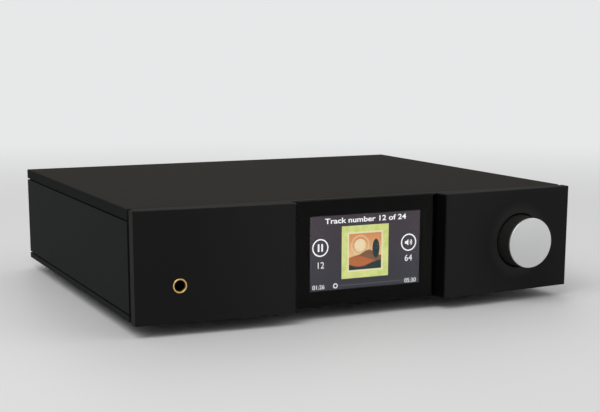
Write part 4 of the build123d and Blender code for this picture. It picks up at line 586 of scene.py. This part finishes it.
def coverPaint():
    # a generic landscape in a mottled frame; u and v run from -1 to 1 over the picture
    p = Paint("cover_picture")
    half = cover["side"] / 2
    u = (p.axis("X") - screenX - cover["place"][0]) / half
    v = (p.axis("Z") - screenZ - cover["place"][1]) / half
    picture = p.blend(p.step(v, *cover["skySpan"]), cover["skyLow"], cover["sky"])
    sun = cover["sun"]
    du = u - sun["place"][0]
    dv = v - sun["place"][1]
    away = (du * du + dv * dv).math("SQRT")
    ring = p.step(away, *sun["ringInside"]) * (1 - p.step(away, *sun["ringOutside"]))
    picture = p.blend(1 - p.step(away, *sun["edge"]), picture, sun["colour"])
    picture = p.blend(ring * sun["ringShare"], picture, sun["colour"])
    for hill in cover["hills"]:
        crest = hill["height"]
        for pace, start, swing in hill["waves"]:
            crest = (u * pace + start).math("SINE") * swing + crest
        below = 1 - p.step(v - crest, -cover["hillSoft"], cover["hillSoft"])
        picture = p.blend(below, picture, hill["colour"])
    tree = cover["tree"]
    du = u - tree["place"][0]
    dv = v - tree["place"][1]
    away = (du * du * tree["squeeze"][0] + dv * dv * tree["squeeze"][1]).math("SQRT")
    crown = 1 - p.step(away, *tree["edge"])
    leaves = p.step(p.noise(tree["leaves"], rough=0.7), *tree["leafSpan"])
    picture = p.blend(crown * leaves, picture, tree["colour"])
    picture = p.tint(picture, weigh(cover["tone"], p.noise(cover["grain"])))
    reach = u.math("ABSOLUTE").math("MAXIMUM", v.math("ABSOLUTE"))
    soft = cover["lineSoft"]
    borderAt = 1 - cover["border"] / half
    trimAt = borderAt - cover["line"] / half
    mottle = p.step(p.noise(cover["frameMottle"], 2.0), *cover["mottleSpan"])
    picture = p.blend(p.step(reach, trimAt - soft, trimAt + soft), picture, cover["trim"])
    border = p.blend(mottle, cover["frame"], cover["frameLight"])
    picture = p.blend(p.step(reach, borderAt - soft, borderAt + soft), picture, border)
    return litPaint(p, picture, screen["glow"])


icons = {
    "ring": 0.0062, "ringLine": 0.0009,
    "pause": {"place": (-0.0355, 0.0042), "apart": 0.00135, "width": 0.0013, "height": 0.0053,
              "corner": 0.0003},
    "sound": {"place": (0.0344, 0.0035), "back": 0.0030, "throat": 0.0018, "mouth": 0.0002, "boxHigh": 0.0009,
              "mouthHigh": 0.0023, "waves": (0.0013, 0.0024), "waveLine": 0.0006, "waveAngle": 52.0,
              "waveSteps": 14},
    "slider": {"place": (-0.0237, -0.0233), "radius": 0.00145, "line": 0.00062, "steps": 40},
    "progress": {"left": -0.0213, "right": 0.0310, "up": -0.0235, "line": 0.00035},
}


def onScreen(place):
    return screenX + place[0], screenZ + place[1]


def meshObject(name, build, paint):
    mesh = bpy.data.meshes.new(name)
    work = bmesh.new()
    build(work)
    work.to_mesh(mesh)
    work.free()
    mesh.materials.append(paint)
    piece = bpy.data.objects.new(name, mesh)
    bpy.context.scene.collection.objects.link(piece)
    return piece


def flatPlate(work, corners, y=iconY):
    # a thin closed plate facing forward, from (x, z) corners in order
    front = [work.verts.new((x, y - screen["thickness"], z)) for x, z in corners]
    back = [work.verts.new((x, y, z)) for x, z in corners]
    work.faces.new(front)
    work.faces.new(list(reversed(back)))
    count = len(corners)
    for i in range(count):
        j = (i + 1) % count
        work.faces.new((front[i], back[i], back[j], front[j]))


def rectangle(x, z, width, height, corner=0.0, steps=5):
    if not corner:
        return [(x - width / 2, z - height / 2), (x + width / 2, z - height / 2),
                (x + width / 2, z + height / 2), (x - width / 2, z + height / 2)]
    points = []
    for sideX, sideZ, start in ((1, -1, -90), (1, 1, 0), (-1, 1, 90), (-1, -1, 180)):
        middleX = x + sideX * (width / 2 - corner)
        middleZ = z + sideZ * (height / 2 - corner)
        for i in range(steps + 1):
            angle = math.radians(start + 90 * i / steps)
            points.append((middleX + corner * math.cos(angle), middleZ + corner * math.sin(angle)))
    return points


def ringBand(work, centre, radius, line, start=0.0, end=360.0, steps=64):
    inner, outer = radius - line / 2, radius + line / 2
    near = iconY - screen["thickness"]
    full = end - start >= 360.0
    count = steps if full else steps + 1
    rows = []
    for i in range(count):
        angle = math.radians(start + (end - start) * i / steps)
        rows.append([
            work.verts.new((centre[0] + r * math.cos(angle), y, centre[1] + r * math.sin(angle)))
            for r, y in ((inner, near), (outer, near), (outer, iconY), (inner, iconY))
        ])
    for i in range(count if full else count - 1):
        a, b = rows[i], rows[(i + 1) % count]
        for k in range(4):
            m = (k + 1) % 4
            work.faces.new((a[k], a[m], b[m], b[k]))
    if not full:
        work.faces.new(rows[0])
        work.faces.new(list(reversed(rows[-1])))


def groundSheet(work):
    flatPlate(work, rectangle(screenX, screenZ, screen["width"], screen["height"]), pictureY)


def coverSheet(work):
    flatPlate(work, rectangle(*onScreen(cover["place"]), cover["side"], cover["side"]))


def iconRing(work, centre):
    ringBand(work, centre, icons["ring"] - icons["ringLine"] / 2, icons["ringLine"])


def pauseIcon(work):
    pause = icons["pause"]
    x, z = onScreen(pause["place"])
    iconRing(work, (x, z))
    for side in (-1, 1):
        bar = rectangle(x + side * pause["apart"], z, pause["width"], pause["height"], pause["corner"])
        flatPlate(work, bar)


def soundIcon(work):
    sound = icons["sound"]
    x, z = onScreen(sound["place"])
    iconRing(work, (x, z))
    lower = [(x - sound["back"], -sound["boxHigh"]), (x - sound["throat"], -sound["boxHigh"]),
             (x - sound["mouth"], -sound["mouthHigh"])]
    upper = [(across, -up) for across, up in reversed(lower)]
    flatPlate(work, [(across, z + up) for across, up in lower + upper])
    for radius in sound["waves"]:
        ringBand(work, (x + sound["mouth"], z), radius, sound["waveLine"], -sound["waveAngle"],
                 sound["waveAngle"], sound["waveSteps"])


def sliderRing(work):
    slider = icons["slider"]
    ringBand(work, onScreen(slider["place"]), slider["radius"], slider["line"], steps=slider["steps"])


def progressLine(work):
    line = icons["progress"]
    middle = onScreen(((line["left"] + line["right"]) / 2, line["up"]))
    flatPlate(work, rectangle(*middle, line["right"] - line["left"], line["line"]))


iconWhite = iconPaint("icon_white", screen["white"], screen["whiteGlow"])
iconGrey = iconPaint("icon_grey", screen["grey"], screen["glow"])
for name, build, paint in (
        ("screen_picture", groundSheet, groundPaint()), ("cover_sheet", coverSheet, coverPaint()),
        ("pause_icon", pauseIcon, iconWhite), ("sound_icon", soundIcon, iconWhite),
        ("slider_ring", sliderRing, iconWhite), ("progress_line", progressLine, iconGrey)):
    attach(meshObject(name, build, paint), "root")
print("screen lit")


# plain words and numbers: on the screen, and under the sockets on the back
letters = {
    "depth": 0.000005,
    "screen": {
        "title_words": {"says": "Track number 12 of 24", "place": (0.0, 0.0221), "size": 0.0052,
                        "width": 0.0640, "bold": 0.00009},
        "left_number": {"says": "12", "place": (-0.0355, -0.0083), "size": 0.0064},
        "right_number": {"says": "64", "place": (0.0344, -0.0079), "size": 0.0064},
        "time_left": {"says": "01:26", "place": (-0.0368, -0.0235), "size": 0.0043, "bold": 0.00001},
        "time_right": {"says": "05:30", "place": (0.0362, -0.0241), "size": 0.0043, "bold": 0.00001},
    },
    "back": {
        "size": 0.0050, "proud": 0.00002, "abovePlate": 0.0075,
        "paint": {"colour": (0.62, 0.62, 0.61), "rough": 0.50, "shine": 0.4, "grain": 2600.0,
                  "depth": 0.000003},
        "mounts": ("xlr_output_left", "xlr_output_right", "phono_output_lower", "xlr_digital_input",
                   "optical_input", "usb_b", "usb_a_left", "usb_a_right", "network"),
    },
}


def lettering(name, says, size, place, paint, width=0.0, bold=0.0, flip=False):
    curve = bpy.data.curves.new(name, "FONT")
    curve.body = says
    curve.size = size
    curve.align_x = "CENTER"
    curve.align_y = "CENTER"
    curve.extrude = letters["depth"]
    curve.offset = bold
    flat = bpy.data.objects.new(name, curve)
    bpy.context.scene.collection.objects.link(flat)
    bpy.context.view_layer.update()
    mesh = bpy.data.meshes.new_from_object(flat)
    bpy.data.objects.remove(flat)
    reach = [vertex.co.x for vertex in mesh.vertices]
    stretch = width / (max(reach) - min(reach)) if width else 1.0
    turn = Matrix.Rotation(math.pi / 2, 4, "X")
    if flip:
        turn = Matrix.Rotation(math.pi, 4, "Z") @ turn
    mesh.transform(Matrix.Translation(place) @ turn @ Matrix.Diagonal((stretch, 1.0, 1.0, 1.0)))
    mesh.materials.clear()
    mesh.materials.append(paint)
    piece = bpy.data.objects.new(name, mesh)
    bpy.context.scene.collection.objects.link(piece)
    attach(piece, "root")


for name, word in letters["screen"].items():
    x, z = onScreen(word["place"])
    lettering(name, word["says"], word["size"], (x, iconY, z), iconWhite, word.get("width", 0.0),
              word.get("bold", 0.0))
print("words set")

back = letters["back"]
plateLow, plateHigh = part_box("rear_plate")
mountAt = {mount["name"]: mount["pos_m"] for mount in frame["record"]["mounts"]}
numberedX = [mountAt[name][0] for name in back["mounts"]] + [middleOf("switch_housing")[0]]
legendPaint = mouldedPaint("legend_white", back["paint"])
for index, x in enumerate(sorted(numberedX, reverse=True)):
    number = str(index + 1)
    place = (x, plateHigh[1] + back["proud"], plateLow[2] + back["abovePlate"])
    lettering("rear_number_" + number, number, back["size"], place, legendPaint, flip=True)
print("back numbered")


# floor, light and camera
studio = {
    "floor": (0.80, 0.80, 0.80), "floorRough": 0.55, "floorShine": 0.2, "floorSize": 12.0,
    "haze": 3.0, "floorTone": (0.985, 0.03),
    "backdrop": (0.80, 0.805, 0.81), "clear": (0.45, 1.5), "skyLight": (1.0, 1.0, 1.0), "ambient": 0.45,
    "lamps": {
        "key": {"power": 9.0, "size": 1.1, "place": (-0.75, -0.55, 1.25)},
        "fill": {"power": 4.0, "size": 1.4, "place": (1.2, -0.9, 0.8)},
        "rear": {"power": 4.0, "size": 1.2, "place": (0.5, 1.3, 1.1)},
    },
    "lampTarget": (0.0, 0.0, 0.04),
}


def floorPaint():
    p = Paint("pale_floor")
    x = p.axis("X")
    y = p.axis("Y")
    away = p.step((x * x + y * y).math("SQRT"), *studio["clear"])
    near = p.add("ShaderNodeBsdfPrincipled", {}, {
        "Base Color": p.tint(studio["floor"], weigh(studio["floorTone"], p.cloud(studio["haze"]))),
        "Roughness": studio["floorRough"],
        "Specular IOR Level": studio["floorShine"],
    })
    far = p.add("ShaderNodeEmission", {}, {"Color": studio["backdrop"], "Strength": 1.0})
    return p.close(p.add("ShaderNodeMixShader", {}, {0: away * p.shownRay(), 1: near, 2: far}))


def floorGrid(work):
    bmesh.ops.create_grid(work, x_segments=1, y_segments=1, size=studio["floorSize"])


def addWorld():
    p = Paint("studio", world=True)
    light = p.add("ShaderNodeBackground", {}, {"Color": studio["skyLight"], "Strength": studio["ambient"]})
    pale = p.add("ShaderNodeBackground", {}, {"Color": studio["backdrop"], "Strength": 1.0})
    bpy.context.scene.world = p.close(p.add("ShaderNodeMixShader", {}, {0: p.shownRay(), 1: light, 2: pale}))


def addLamp(name, spec):
    lamp = bpy.data.lights.new(name, "AREA")
    lamp.energy = spec["power"]
    lamp.shape = "SQUARE"
    lamp.size = spec["size"]
    piece = bpy.data.objects.new(name, lamp)
    bpy.context.scene.collection.objects.link(piece)
    away = (Vector(spec["place"]) - Vector(studio["lampTarget"])).normalized()
    turn = away.to_track_quat("Z", "Y").to_matrix().to_4x4()
    piece.matrix_world = Matrix.Translation(spec["place"]) @ turn


# focal length in the photograph's pixels, angles in degrees
view = {
    "focal": 1227.08, "across": 600.0, "azimuth": -25.364, "elevation": 11.193, "roll": 0.101, "sensor": 36.0,
    "distance": 0.836301, "target": (-0.052671, -0.139300, 0.026682), "shiftUp": 0.131, "clip": (0.01, 100.0),
}


def addCamera():
    lens = bpy.data.cameras.new("camera")
    lens.sensor_width = view["sensor"]
    lens.lens = view["sensor"] * view["focal"] / view["across"]
    lens.shift_y = view["shiftUp"]
    lens.clip_start, lens.clip_end = view["clip"]
    azimuth, elevation, roll = (math.radians(view[key]) for key in ("azimuth", "elevation", "roll"))
    level = math.cos(elevation)
    away = Vector((math.sin(azimuth) * level, -math.cos(azimuth) * level, math.sin(elevation)))
    right = Vector((math.cos(azimuth), math.sin(azimuth), 0.0))
    spin = Matrix.Rotation(roll, 3, away)
    up = spin @ away.cross(right)
    right = spin @ right
    place = Vector(view["target"]) + away * view["distance"]
    camera = bpy.data.objects.new("camera", lens)
    camera.matrix_world = Matrix.Translation(place) @ Matrix((right, up, away)).transposed().to_4x4()
    bpy.context.scene.collection.objects.link(camera)
    bpy.context.scene.camera = camera


meshObject("floor", floorGrid, floorPaint())
addWorld()
for name, spec in studio["lamps"].items():
    addLamp(name, spec)
addCamera()
bpy.context.scene.view_settings.view_transform = "Standard"
print("studio set")
